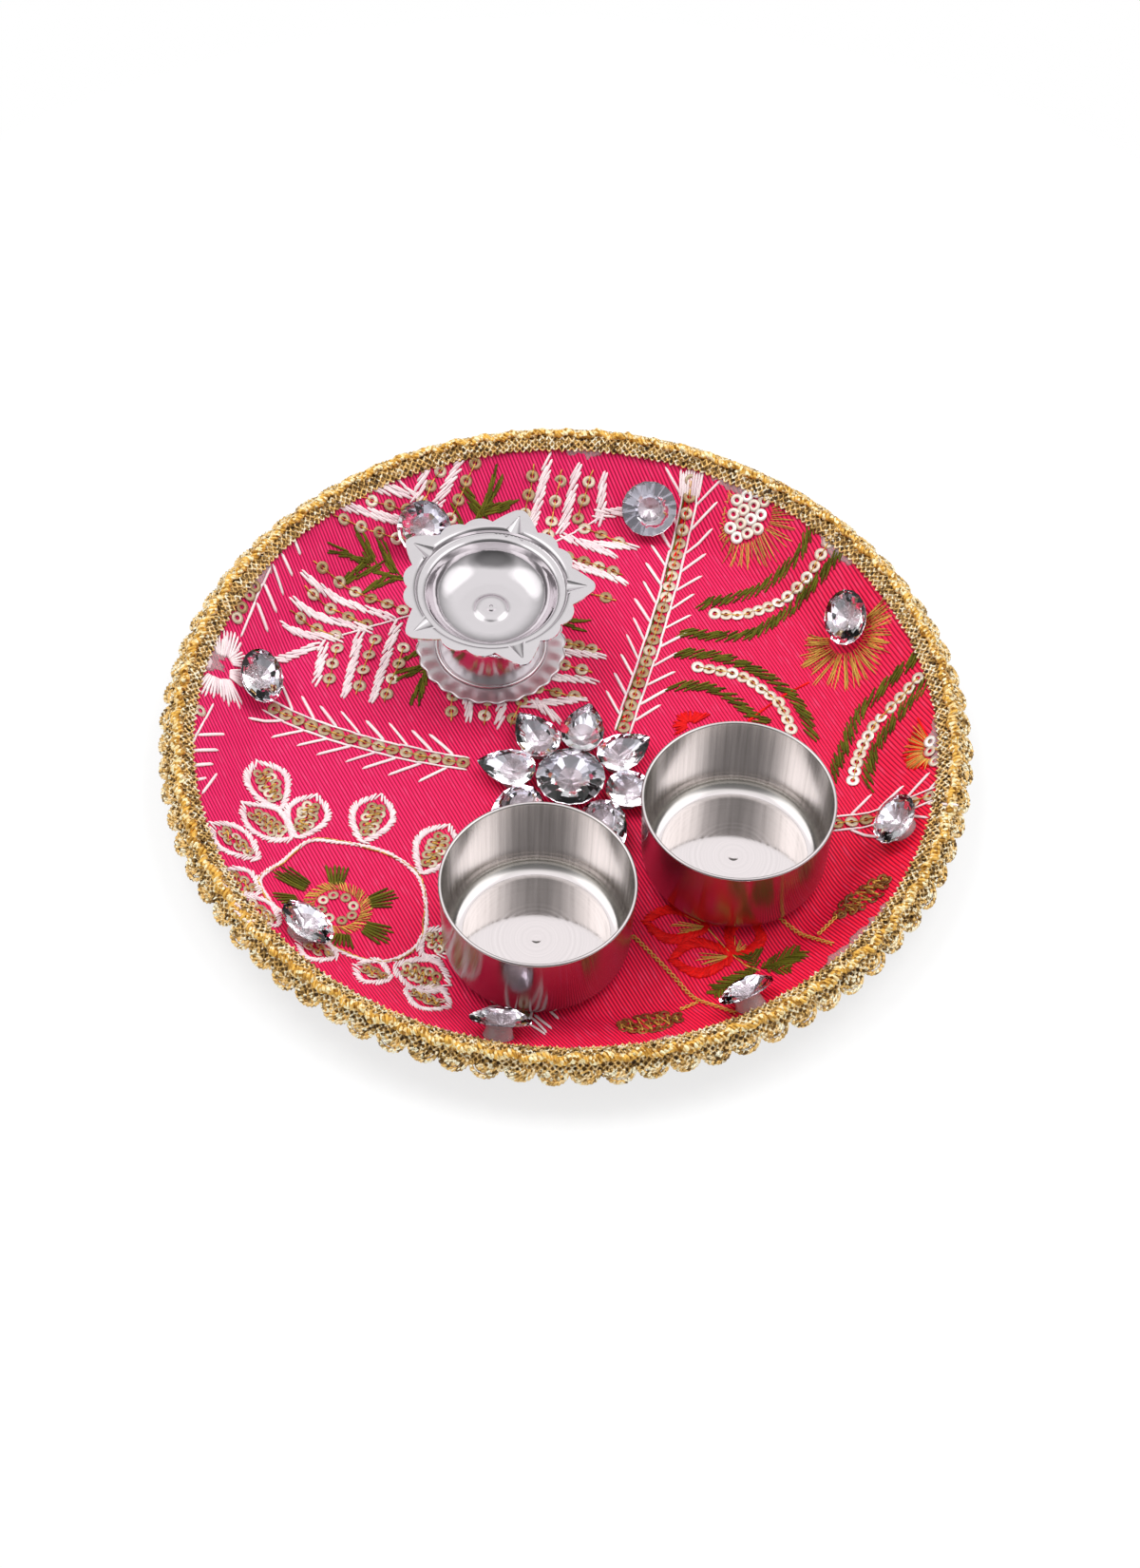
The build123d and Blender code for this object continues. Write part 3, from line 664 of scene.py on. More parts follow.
def set_glue():
    """Clear craft glue, set: milky and glossy, with small bubbles and ripples."""
    material, add = finish("set_clear_glue")
    ripple = add("TexNoise", {"Vector": add("TexCoord", out="Object"), "Scale": per(1.42857)})
    dull = add("MapRange", {"Value": ripple, "To Min": 0.1, "To Max": 0.35})
    bump = add("Bump", {"Height": ripple, "Strength": 0.4, "Distance": 0.4 * mm})
    look = {"Base Color": linear("#F3E6E8"), "Roughness": dull, "Normal": bump}
    return surfaced(material, add("BsdfPrincipled", {**look, "IOR": 1.48, "Transmission Weight": 0.75}))


# What a user may change


def length(name, description, size):
    """A length that is given in millimetres and kept in metres."""
    return FloatProperty(name=name, description=description, default=size * mm, unit="LENGTH")


def hue(name, description, code):
    """A colour that is given as sRGB hex and kept as linear RGB."""
    return FloatVectorProperty(name=name, description=description, default=linear(code)[:3], subtype="COLOR")


def share(name, description, level):
    """A share from 0 to 1, such as a roughness."""
    return FloatProperty(name=name, description=description, default=level, min=0, max=1, subtype="FACTOR")


class ClothLook(bpy.types.PropertyGroup):
    """Satin cover of the tray"""

    rib_pitch: length("Rib pitch", "Between the satin's ribs as drawn", 0.95)
    # Pink and crimson share the cloth by place, painted sheen and shade; the streaks are painted sheen and
    # the grooves painted shade
    pink: hue("Pink", "Cloth to the left and back", "#EC2A6A")
    crimson: hue("Crimson", "Cloth to the front right", "#FF203E")
    sheen_streak: hue("Streaks", "Pale, along the ribs", "#FF6E9C")
    groove_shade: hue("Grooves", "Between the ribs", "#7C0428")
    crease: length("Crease height", "Height of the creases up the wall", 0.3)


class ThreadLook(bpy.types.PropertyGroup):
    """Embroidery thread and sequins"""

    white: length("White thread", "Width of a white stitch", 0.72)
    olive: length("Olive thread", "Width of an olive stitch", 0.8)
    red: length("Red thread", "Width of a red stitch", 0.75)
    zari: length("Zari", "Width of the gold thread", 0.29)
    sequin: length("Sequin", "Outside diameter of a sequin", 3.75)
    leaf_sequin: length("Leaf sequin", "Outside diameter of a leaf's sequin", 3)
    hole: length("Sequin hole", "Diameter of a sequin's hole", 1.35)
    vine_half: length("Vine half", "From a vine's middle to its lines", 2.2)


class LaceLook(bpy.types.PropertyGroup):
    """Metallic lace round the rim"""

    grit: length("Facet size", "Bright facets of the yarn as drawn", 0.9)
    yarn: length("Net yarn", "Radius of the net's yarn", 0.32)
    plait: length("Cord strand", "Radius of a strand of the gold cord", 0.6)
    plaits: IntProperty(name="Turns", description="Turns of the gold cord round the rim", default=200)
    stitch_count: IntProperty(name="Net stitches", description="Waves of a yarn round the rim", default=340)


class MetalLook(bpy.types.PropertyGroup):
    """Bowls and lamp"""

    steel_smooth: share("Steel floor", "Roughness of the floors", 0.08)
    steel_outside: share("Steel outside", "Roughness of the outsides", 0.17)
    steel_rough: share("Steel wall", "Roughness of the walls inside", 0.2)
    lamp_dish: share("Lamp dish", "Roughness of the lamp's dish", 0.06)
    lamp_floor: share("Lamp floor", "Roughness where the dish lies flat", 0.16)
    lamp_skirt: share("Lamp skirt", "Roughness of the foot's fluted skirt", 0.34)
    lamp_foot: share("Lamp foot", "Roughness of the lamp's foot", 0.17)


class StoneLook(bpy.types.PropertyGroup):
    """Clear stones"""

    tint: hue("Tint", "Colour of the clear stones", "#FDFCFF")


class StageLook(bpy.types.PropertyGroup):
    """Floor, light and camera"""

    key: FloatProperty(
        name="Key light", description="Large soft light from the left", default=6.8, unit="POWER"
    )
    fill: FloatProperty(
        name="Fill light", description="Large soft light from the right", default=6.1, unit="POWER"
    )
    sky: FloatProperty(name="Room light", description="Even light from all round", default=0.66)
    horizon: FloatProperty(name="Horizon", description="Grey of the room's sides in metal", default=0.12)
    window: FloatProperty(name="Side lamps", description="Light from the sides in metal", default=0.65)
    lens: FloatProperty(name="Lens", description="Focal length, mm", default=82.74, unit="CAMERA")


looks = {
    "thali_cloth": ClothLook,
    "thali_thread": ThreadLook,
    "thali_lace": LaceLook,
    "thali_metal": MetalLook,
    "thali_stone": StoneLook,
    "thali_stage": StageLook,
}


def thread_sizes(context):
    """The sizes of thread and sequins, in millimetres."""
    look = context.scene.thali_thread
    return SimpleNamespace(**{field: getattr(look, field) / mm for field in ThreadLook.__annotations__})


# Thread and sequin finishes: the record's slot, what makes the finish, its name, its dark and bright shades,
# and for thread its roughness, metal and sheen
thread_kinds = {
    "white": ("white_thread", spun_thread, "white_cotton", "#E0C2CA", "#FBF0EE", 0.6, 0.0, 0.2),
    "olive": ("olive_thread", spun_thread, "olive_silk", "#2E2E08", "#74701E", 0.5),
    "red": ("red_thread", spun_thread, "red_silk", "#A8000A", "#FF1C18", 0.45),
    # Zari's dark and bright lie far apart, so its noise paints glints and shade on it
    "zari": ("lace_gold", spun_thread, "zari_gold", "#763206", "#FFD060", 0.35, 0.15),
    "sequins": ("lace", foil_sequin, "beige_sequin", "#A88B60", "#E9DCC6"),
    "pearl": ("white_thread", foil_sequin, "pearl_sequin", "#E3D2BE", "#FFFDF8"),
    "bronze": ("lace_gold", foil_sequin, "bronze_sequin", "#76481C", "#B07632"),
}
made_finishes = {}


def make_threads(motif, nodes, **shapes):
    """One piece for each kind of thread of a motif. The first stands for the motif's CAD nodes."""
    for kind, parts in shapes.items():
        slot, maker, *look = thread_kinds[kind]
        if kind not in made_finishes:
            made_finishes[kind] = maker(*look)
        make_piece(f"{motif}_{kind}", joined(*parts), made_finishes[kind], nodes)
        nodes = []


def dress(names, material):
    """Gives CAD nodes a finish through their material slots."""
    for name in names:
        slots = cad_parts[name].material_slots
        for slot in slots:
            slot.material = material
        if not slots:
            raise RuntimeError(f"{name} has no material slot")


# Operators, one for each group of pieces


class THALI_OT_satin(bpy.types.Operator):
    """Ribbed satin cover glued over the inside of the plate"""

    bl_idname = "thali.satin"
    bl_label = "Satin cover"

    def execute(self, context):
        cloth = context.scene.thali_cloth
        rng = np.random.default_rng(11)
        around, creases = 288, 16
        inner, outer = np.linspace(2, flat_radius, 30), np.linspace(flat_radius, cloth_edge, 26)
        radius = np.concatenate([inner, outer[1:]])
        bearing = turns(around)
        plan = radius[:, None, None] * compass(bearing)
        # Creases: each a narrow ridge that leans as it runs up the wall, height exp(-(distance / width)^2)
        limits = ((0, tau), (-0.012, 0.012), (1.2, 3.0))
        start, lean, width = (rng.uniform(low, high, creases) for low, high in limits)
        line = start + lean * (radius[:, None] - flat_radius)
        apart = np.abs((bearing[:, None] - line[:, None] + math.pi) % tau - math.pi) * radius[:, None, None]
        ridge = np.exp(-((apart / width) ** 2)).max(axis=2)
        climb = np.clip((radius - flat_radius + 6) / 12, 0, 1)[:, None]
        top, _ = on_cover(plan, cloth.crease / mm * ridge * climb - cloth_sunk)
        under, _ = on_cover(plan, np.full(plan.shape[:2], -cloth_thickness))
        rows = np.concatenate([under, top[::-1]])
        index = np.arange(rows.size // 3).reshape(1, len(rows), around)
        low, high = index[0, 0], index[0, -1]
        pole = np.full(around, index.size)
        lower_fan = np.stack([pole, np.roll(low, -1), low], axis=1)
        upper_fan = np.stack([pole + 1, high, np.roll(high, -1)], axis=1)
        poles = [[0, 0, cover_top - cloth_thickness], [0, 0, cover_top - cloth_sunk]]
        points = np.concatenate([rows.reshape(-1, 3), poles])
        shape = Shape(points, [grid_faces(index), lower_fan, upper_fan], np.zeros(len(points)))
        piece = make_piece("satin_cover", shape, ribbed_satin(cloth), ["fabric_cover"])
        return {"FINISHED"}


class THALI_OT_lace(bpy.types.Operator):
    """Metallic lace: net yarns either side over a dark strip, painted shade for its gaps, plaited gold cord
    and twisted picot loops
    """

    bl_idname = "thali.lace"
    bl_label = "Lace"

    def execute(self, context):
        lace = context.scene.thali_lace
        rng = np.random.default_rng(23)
        # The strip's colours are dark all through, painted shade; in each yarn the first colour is a painted
        # shadow and the last a painted glint
        shadow = metallic_yarn("lace_shadow_strip", "#2A1A08", "#6A4A18", "#B08440", lace.grit)
        pale = metallic_yarn("pale_gold_lurex", "#5A3A0E", "#F6CA7A", "#FFF8DC", lace.grit)
        gold = metallic_yarn("bright_gold_lurex", "#96600F", "#EEBA54", "#FFF2C4", lace.grit)
        inner, outer = np.arange(0.25, 4.1, 0.92), np.arange(5.2, 8.0, 0.92)
        make_piece("lace_shadow_strip", self.ground(), shadow)
        make_piece("lace_net_inner", self.net(lace, inner, rng), pale, ["lace_band"])
        make_piece("lace_net_outer", self.net(lace, outer, rng), pale)
        make_piece("lace_plaited_cord", self.cord(lace, rng), gold, ["lace_cord"])
        make_piece("lace_picots", self.picots(rng), pale, ["lace_loops"])
        return {"FINISHED"}

    def ground(self):
        """Closed dark strip under the yarns, painted shade that fills the gaps between them: a flat profile
        on the lace's path, carried once round the plate.
        """
        across = np.linspace(0.1, lace_width - 0.1, 15)
        profile = np.concatenate([across, across[::-1]])
        lift = np.repeat([0.55, 0.1], 15)
        return skin(on_lace(turns(360)[:, None], profile, lift)[None], loop=True)

    def net(self, lace, lines, rng):
        """Yarns that wave across the strip and meet their neighbours round small holes: across = line +
        0.48 cos(stitches b), lifted by 0.24 cos(2 stitches b), alternate yarns half a wave on, with each
        wave a little uneven."""
        steps = 6
        b = turns(lace.stitch_count * steps)
        turn = lace.stitch_count * b + math.pi * (np.arange(len(lines)) % 2)[:, None]
        uneven = np.repeat(rng.uniform(-1, 1, (3, len(lines), lace.stitch_count)), steps, axis=2)
        uneven = (uneven + np.roll(uneven, -2, axis=2) + np.roll(uneven, 2, axis=2)) / 2.4
        across = lines[:, None] + (0.48 + 0.16 * uneven[0]) * np.cos(turn) + 0.14 * uneven[1]
        lift = 0.7 + 0.24 * np.cos(2 * turn) + 0.2 * uneven[2]
        yarn = lace.yarn / mm
        return swept(on_lace(b, across, lift), lace_normal(b, across), yarn, yarn * 0.8, 4, loop=True)

    def cord(self, lace, rng):
        """Gold cord laid over the net in floats, one to a picot: three strands at a third of a turn, across
        = cord_across + 0.6 sin(p) and lift = 1.5 + 0.45 cos(p), which dip into the net between floats by
        1.1 (1/2 + 1/2 cos(picots b))^5 and stray a little from float to float."""
        steps = 12
        b = turns(lace.plaits * steps)
        p = lace.plaits * b + turns(3)[:, None]
        floats = np.arange(loop_count + 1) * tau / loop_count
        stray = np.interp(b, floats, rng.uniform(-0.5, 0.5, loop_count + 1))
        loose = np.repeat(rng.uniform(-1, 1, (2, 3, lace.plaits)), steps, axis=2)
        loose = (loose + np.roll(loose, 4, axis=2) + np.roll(loose, -4, axis=2)) / 3
        dip = (0.5 + 0.5 * np.cos(loop_count * b + stray)) ** 5
        across = cord_across + 0.35 * np.sin(loop_count * b) + 0.5 * stray
        across = across + (0.6 + 0.25 * loose[0]) * np.sin(p)
        lift = 1.5 - 1.1 * dip + (0.45 + 0.2 * loose[1]) * np.cos(p)
        thick = lace.plait / mm * (1 + 0.25 * loose[1])
        return swept(on_lace(b, across, lift), lace_normal(b, across), thick, thick * 0.9, 5, loop=True)

    def picots(self, rng):
        """Scallops along the outer edge: an outer rope of two twisted strands, and two smaller ones that
        fill its foot. With a from -96 to 96 degrees, a line runs half sin a along the edge and reach cos a
        out; strands turn round it."""
        strands = []
        ropes = (
            (3.75, loop_reach + 0.2, 0.46, 9.0, 22),
            (2.85, 1.85, 0.44, 7.0, 16),
            (1.6, 1.0, 0.42, 4.0, 10),
        )
        for half, reach, thick, twist, stations in ropes:
            a = np.radians(np.linspace(-96, 96, stations))
            middle = turns(loop_count)[:, None] + rng.uniform(-0.004, 0.004, (loop_count, 1))
            size = rng.uniform(0.86, 1.06, (loop_count, 1))
            bearing = middle + half * np.sin(a) / (lace_inner[0] + lace_width)
            for phase in (0, math.pi):
                spin = twist * a + phase
                across = lace_width - 0.6 + reach * size * np.cos(a) + thick * 0.8 * np.cos(spin)
                lift = 0.55 + thick * 0.8 * np.sin(spin) + np.zeros_like(across)
                path = on_lace(bearing, across, lift)
                strands.append(swept(path, lace_normal(bearing, across), thick, thick, 4))
        return joined(*strands)


class THALI_OT_fern(bpy.types.Operator):
    """Fern spray round the lamp: white ears, sequin chains and olive sprigs"""

    bl_idname = "thali.fern"
    bl_label = "Fern"

    stems = [[(-45.9, 47.7), (-66.2, 38.8)], [(-44.6, 83.8), (-51.8, 88.2)], [(-7.8, 75.5), (8.1, 86.7)]]
    ears = [
        ((-51.3, 47.0), (-74.8, 55.1)), ((-58.2, 42.5), (-77.2, 47.1)), ((-66.2, 38.8), (-79.3, 39.3)),
        ((-49.5, 43.4), (-54.1, 17.9)), ((-59.7, 39.1), (-61.9, 19.8)), ((-69.3, 35.6), (-70.2, 23.8)),
        ((-72.0, 35.4), (-81.3, 29.2)), ((-48.0, 85.3), (-59.2, 84.4)), ((-49.8, 77.9), (-67.5, 77.3)),
        ((-45.8, 84.8), (-43.6, 92.2)), ((-40.6, 83.1), (-34.2, 95.4)), ((-12.8, 81.7), (-8.8, 97.9)),
        ((-3.6, 82.2), (-0.3, 96.7)), ((7.0, 86.2), (7.6, 95.0)), ((-2.3, 78.7), (10.7, 73.2)),
        ((4.4, 76.8), (16.2, 76.4)), ((0.2, 68.7), (13.7, 63.6)), ((7.5, 86.7), (16.4, 87.9)),
        ((-0.9, 36.8), (7.8, 36.2)), ((-3.9, 27.7), (5.4, 27.2)), ((-10.0, 17.8), (3.4, 20.6)),
        ((-9.0, 18.6), (-2.9, 13.5)), ((-27.9, 19.0), (-27.1, 12.9)), ((-18.2, 18.8), (-18.7, 12.0)),
    ]
    chains = [
        ((-47.8, 49.4), (-71.1, 59.2), 6), ((-57.9, 43.8), (-73.2, 51.5), 4),
        ((-66.3, 39.3), (-76.6, 43.4), 3), ((-46.9, 36.0), (-50.4, 19.6), 4),
        ((-55.2, 38.6), (-58.5, 21.8), 4), ((-65.7, 35.0), (-67.0, 24.0), 3),
        ((-48.5, 81.0), (-58.7, 81.0), 3), ((-51.0, 73.4), (-66.2, 73.9), 4),
        ((-44.3, 83.9), (-39.6, 92.6), 3), ((-35.8, 81.7), (-29.8, 96.1), 4),
        ((-14.4, 85.6), (-13.1, 95.0), 3), ((-7.7, 79.5), (-5.0, 94.2), 4), ((0.8, 85.8), (3.7, 94.5), 3),
        ((2.6, 82.2), (12.8, 78.0), 3), ((-1.5, 71.5), (11.4, 66.7), 4), ((3.3, 58.8), (9.7, 57.0), 2),
        ((-1.0, 39.6), (5.8, 38.6), 3), ((-1.3, 32.3), (3.6, 30.8), 2), ((-8.6, 23.4), (1.7, 21.5), 3),
        ((-31.8, 19.5), (-32.0, 14.0), 2), ((-22.5, 18.6), (-22.8, 13.1), 2),
        ((-12.8, 19.1), (-14.7, 12.9), 2),
    ]
    sprigs = [
        [(-49.2, 61.0), (-67.3, 66.3)], [(-59.0, 66.3), (-61.6, 71.1)], [(-57.2, 66.1), (-59.8, 71.4)],
        [(-52.0, 64.1), (-55.2, 70.0)], [(-51.3, 64.7), (-53.8, 70.4)], [(-59.7, 65.2), (-67.5, 64.7)],
        [(-59.3, 64.9), (-64.7, 59.1)], [(-56.3, 64.3), (-64.3, 58.2)], [(-53.3, 61.7), (-58.4, 57.0)],
        [(-50.3, 61.0), (-57.7, 56.8)], [(-28.3, 82.9), (-26.2, 87.0), (-23.8, 94.1)],
        [(-25.7, 86.6), (-22.0, 92.7)], [(-27.5, 84.9), (-31.1, 89.1)], [(-28.3, 83.9), (-31.6, 88.0)],
        [(-25.6, 86.1), (-18.2, 88.2)], [(-26.1, 84.7), (-20.6, 86.3)], [(-32.7, 80.8), (-34.2, 83.4)],
        [(-40.5, 30.0), (-47.4, 27.6)], [(-39.9, 29.3), (-47.0, 25.5)], [(-39.8, 28.6), (-43.3, 18.2)],
        [(-40.0, 25.9), (-41.4, 18.3)], [(-42.9, 34.7), (-46.8, 31.7)], [(-4.1, 48.5), (3.4, 48.2)],
        [(-3.5, 47.9), (2.1, 45.3)],
    ]

    def execute(self, context):
        thread = thread_sizes(context)
        rng = np.random.default_rng(31)
        ear = partial(column, rows=2, gap=1.3, length=5.0, slant=-17, pitch=2.2, height=0.6, taper=0.3)
        sprig = partial(column, rows=2, gap=0.8, length=4.4, slant=9, pitch=2.6, height=0.5)
        white = [ear(ends, width=thread.white * 1.15, rng=rng) for ends in self.ears]
        white += [run_of_stitches(stem, 4.5, thread.white, 0.5, rng) for stem in self.stems]
        rings, gold = zip(*(chain(a, b, count, thread, rng) for a, b, count in self.chains))
        olive = [sprig(path, width=thread.olive * 0.85, rng=rng) for path in self.sprigs]
        make_threads("fern", ["stitch_fern"], white=white, olive=olive, zari=gold, sequins=rings)
        return {"FINISHED"}


class THALI_OT_vines(bpy.types.Operator):
    """Feathered vines to the left and back, their ends at the right and front, and the tuft by the left
    edge"""

    bl_idname = "thali.vines"
    bl_label = "Vines"

    left = [(-27.1, -3.4), (-38.2, -1.8), (-50.1, 0.9), (-63.9, 4.9), (-74.7, 9.1), (-83.3, 13.6)]
    back = [(15.5, 10.1), (21.7, 35.1), (26.8, 58.2), (30.6, 79.5), (32.6, 88.9), (33.1, 94.7)]
    right = [(73.7, -18.8), (83.6, -17.2), (96.7, -16.2), (101.0, -15.7)]
    front = [(-7.6, -79.6), (-8.2, -83.4), (-8.8, -88.8)]
    front_barbs = [
        ((-10.1, -80.6), (-17.9, -82.4)), ((-5.4, -83.9), (-0.7, -90.5)), ((-3.0, -80.6), (1.0, -85.3)),
        ((1.3, -79.2), (2.9, -81.5)), ((-6.8, -88.5), (-2.3, -93.8)), ((-14.8, -78.4), (-16.5, -79.1)),
    ]
    petals = [
        ((-94.8, 23.2), (-93.9, 32.3)), ((-96.6, 22.8), (-97.2, 29.6)), ((-94.0, 22.4), (-90.2, 25.6)),
        ((-94.0, 18.6), (-90.3, 18.9)), ((-94.8, 16.6), (-91.9, 8.8)), ((-97.0, 15.9), (-97.0, 9.6)),
        ((-98.4, 15.8), (-100.2, 8.2)), ((-98.8, 18.8), (-102.0, 19.4)),
    ]
    edge_lines = [
        [(-91.8, 31.5), (-88.8, 43.2), (-85.6, 54.0)], [(-97.6, 6.8), (-100.5, -4.5), (-101.8, -10.8)],
    ]
    edge_barbs = [
        ((-88.3, 42.9), (-84.9, 35.8)), ((-86.8, 49.1), (-82.9, 42.3)), ((-84.8, 55.4), (-81.4, 47.9)),
        ((-82.6, 59.2), (-79.3, 54.1)), ((-79.5, 64.2), (-77.5, 60.6)), ((-100.4, -5.4), (-93.4, -1.0)),
        ((-101.5, -11.6), (-94.7, -7.3)), ((-101.0, -16.7), (-95.6, -12.8)),
        ((-100.2, -21.8), (-96.7, -18.6)), ((-97.4, -25.0), (-94.3, -15.2)),
    ]
    edge_sequins = [(-93.3, 36.0), (-92.3, 39.6), (-90.5, 44.0), (-89.3, 47.0), (-100.5, 2.8)]

    def execute(self, context):
        thread = thread_sizes(context)
        rng = np.random.default_rng(41)
        for name, places, nodes in (
            ("vine_left", self.left, ["stitch_vine_left"]),
            ("vine_back", self.back, ["stitch_vine_back"]),
            ("vine_right", self.right, []),
            ("vine_front", self.front, ["stitch_vine_front"]),
        ):
            white, rings, gold = feather(places, thread, rng)
            white, extra = [white], {}
            if name == "vine_back":
                white.append(tuft((32.6, 89.5), (33.2, 97.0), 9, 2.6, 3.2, thread.white, 0.5, rng))
                path = smooth_path(places, 3.9)
                aside = headings(path)[1]
                red = stitches(path[:-1] + aside[:-1], path[1:] + aside[1:] * 0.3, thread.red, 0.4, rng)
                olive = run_of_stitches(path + aside * 1.5, 4.2, thread.olive * 0.7, 0.35, rng)
                extra = {"red": [red], "olive": [olive]}
            if name == "vine_front":
                white += [stitches(a, b, thread.white * 1.3, 0.45, rng) for a, b in self.front_barbs]
            make_threads(name, nodes, white=white, sequins=[rings], zari=[gold], **extra)
        edge = [tuft(a, b, 6, 0.9, 2.5, thread.white * 1.1, 0.55, rng) for a, b in self.petals]
        edge += [run_of_stitches(line, 6.0, thread.white * 1.1, 0.45, rng) for line in self.edge_lines]
        edge += [stitches(a, b, thread.white * 1.4, 0.5, rng) for a, b in self.edge_barbs]
        rings = sequins(self.edge_sequins, thread.sequin, thread.hole, rng)
        make_threads("edge_tuft", [], white=edge, sequins=[rings])
        return {"FINISHED"}


class THALI_OT_wreath(bpy.types.Operator):
    """Wreath at the front left: a twisted ring, sequin-filled leaves and an olive flower"""

    bl_idname = "thali.wreath"
    bl_label = "Wreath"

    ring = [
        (-76.5, -57.3), (-79.8, -47.5), (-69.8, -32.5), (-60.7, -31.5), (-49.7, -33.3), (-42.2, -37.4),
        (-37.6, -43.0), (-35.7, -50.9), (-35.5, -58.9), (-38.7, -65.4), (-46.2, -69.4), (-58.0, -68.7),
        (-76.5, -57.3),
    ]
    leaves = [
        ((-76.7, -21.3), (-84.4, -6.4)), ((-72.9, -30.8), (-86.5, -22.6)),
        ((-71.7, -30.7), (-67.9, -16.7)), ((-54.1, -31.3), (-50.2, -15.8)),
        ((-37.4, -40.8), (-31.3, -25.0)), ((-81.0, -41.1), (-93.3, -34.6)),
        ((-79.6, -55.2), (-89.0, -50.8)), ((-73.4, -65.6), (-83.8, -59.7)),
        ((-57.7, -71.8), (-67.8, -69.7)), ((-43.4, -76.1), (-52.4, -73.5)),
        ((-43.2, -70.6), (-28.7, -75.5)), ((-39.7, -79.1), (-28.2, -84.3)),
        ((-35.2, -58.8), (-28.9, -65.7)),
    ]
    flower = (-59.2, -52.8)
    tufts = [
        ((-67.5, -46.5), (-76.5, -42.0)), ((-60.0, -45.4), (-60.3, -38.4)),
        ((-51.0, -50.6), (-43.3, -48.0)), ((-51.9, -58.4), (-43.8, -62.0)),
        ((-57.2, -60.9), (-57.2, -67.2)), ((-69.5, -51.6), (-75.0, -55.4)),
    ]

    def execute(self, context):
        thread = thread_sizes(context)
        rng = np.random.default_rng(53)
        white, rings, gold = map(list, zip(*(leaf(a, b, 5.4, thread, rng) for a, b in self.leaves)))
        path = smooth_path(self.ring, 1.35)
        along, left = headings(path)
        aim = turned(along, rng.uniform(14, 24, len(path)))
        white.append(stitches(path - aim * 1.5, path + aim * 1.5, thread.white, 0.6, rng))
        beside = path + left * (0.7 * np.sin(np.arange(len(path)) * 0.3))[:, None]
        gold.append(zari(beside[::3], thread, rng))
        # The flower: eight sequins on an oval, with short gold rays slanted round it
        lie = -30.0
        eyes = self.flower + turned(compass(turns(8)) * [4.6, 3.9], lie)
        rings.append(sequins(eyes, thread.leaf_sequin, thread.hole * 0.85, rng, lift=0.3))
        rim = compass(turns(89))
        inner = turned(rim * [6.3, 5.6], lie)
        outer = turned(rim * [9.6, 8.6], lie + rng.uniform(10, 26, len(rim)))
        gold.append(stitches(self.flower + inner, self.flower + outer, thread.zari, 0.4, rng))
        olive = [tuft(a, b, 6, 1.5, 3.1, thread.olive, 0.5, rng) for a, b in self.tufts]
        make_threads("wreath", ["stitch_wreath"], white=white, olive=olive, zari=gold, sequins=rings)
        return {"FINISHED"}


class THALI_OT_bloom(bpy.types.Operator):
    """Red bloom at the front right, with gold veins, green leaves, chain stems and two sequin leaves"""

    bl_idname = "thali.bloom"
    bl_label = "Red bloom"

    petals = [
        ((40.0, -54.2), (24.0, -53.2), 5.4), ((46.5, -63.2), (31.2, -64.6), 5.4),
        ((47.2, -62.6), (51.6, -52.2), 4.8), ((40.6, -53.0), (44.0, -44.0), 4.6),
    ]
    vein_tips = [
        ((40.0, -54.2), [(31.6, -50.9), (29.9, -54.4), (33.5, -57.0)]),
        ((46.5, -63.2), [(36.9, -62.5), (36.9, -64.7), (39.9, -66.0)]),
        ((47.0, -62.6), [(51.0, -59.8), (49.2, -58.0), (46.4, -56.6)]),
    ]
    stalk = [(39.6, -54.4), (46.8, -63.2), (53.6, -68.4)]
    greens = [
        ((52.6, -67.0), (40.3, -77.4), 3.6), ((54.0, -67.4), (65.0, -62.9), 4.2),
        ((52.8, -66.4), (50.9, -62.0), 4.6), ((55.6, -68.8), (61.6, -70.2), 2.6),
    ]
    stems = [
        [(19.7, -57.8), (29.6, -68.9), (37.3, -78.6), (41.6, -82.7), (47.0, -87.8)],
        [(58.5, -49.7), (64.9, -56.2), (72.6, -63.8)], [(69.1, -57.9), (74.4, -51.6)],
        [(32.8, -82.7), (37.3, -79.8)],
    ]
    sequin_leaves = [((74.4, -51.6), (87.7, -41.6), 9.0), ((32.8, -86.5), (16.5, -89.6), 11.0)]

    def execute(self, context):
        thread = thread_sizes(context)
        rng = np.random.default_rng(67)
        red = []
        for share, tooth in ((1.0, 1.5), (0.74, 2.2)):
            border = partial(toothed_border, width=thread.red, rng=rng, tooth=tooth, pitch=0.55)
            red += [border(a, b, half * share) for a, b, half in self.petals]
        red.append(run_of_stitches(self.stalk[1:], 3.0, thread.red * 0.8, 0.4, rng))
        gold = [rays(middle, tips, 8, 0.6, thread.zari * 0.8, 0.45, rng) for middle, tips in self.vein_tips]
        gold += [run_of_stitches(self.stalk, 2.4, thread.zari * 1.4, 0.5, rng)]
        gold += [twisted(stem, 3.2, thread.zari * 0.6, rng) for stem in self.stems]
        olive = [fishbone(a, b, half, thread.olive * 0.75, rng) for a, b, half in self.greens]
        rings = []
        for base, tip, width in self.sequin_leaves:
            base, tip, _, left = span(base, tip)
            at = np.repeat(np.linspace(0.06, 0.94, 7), 3)
            aside = np.tile([-0.36, 0.0, 0.36], 7) * width * np.sin(math.pi * at) ** 0.7
            places = base + (tip - base) * at[:, None] + left * aside[:, None]
            strewn = places + rng.uniform(-0.4, 0.4, places.shape)
            rings.append(sequins(strewn, thread.leaf_sequin, thread.hole, rng, lift=0.35, lean=16))
            gold.append(zari(places, thread, rng))
        make_threads("bloom", ["stitch_bloom"], red=red, olive=olive, zari=gold, bronze=rings)
        return {"FINISHED"}


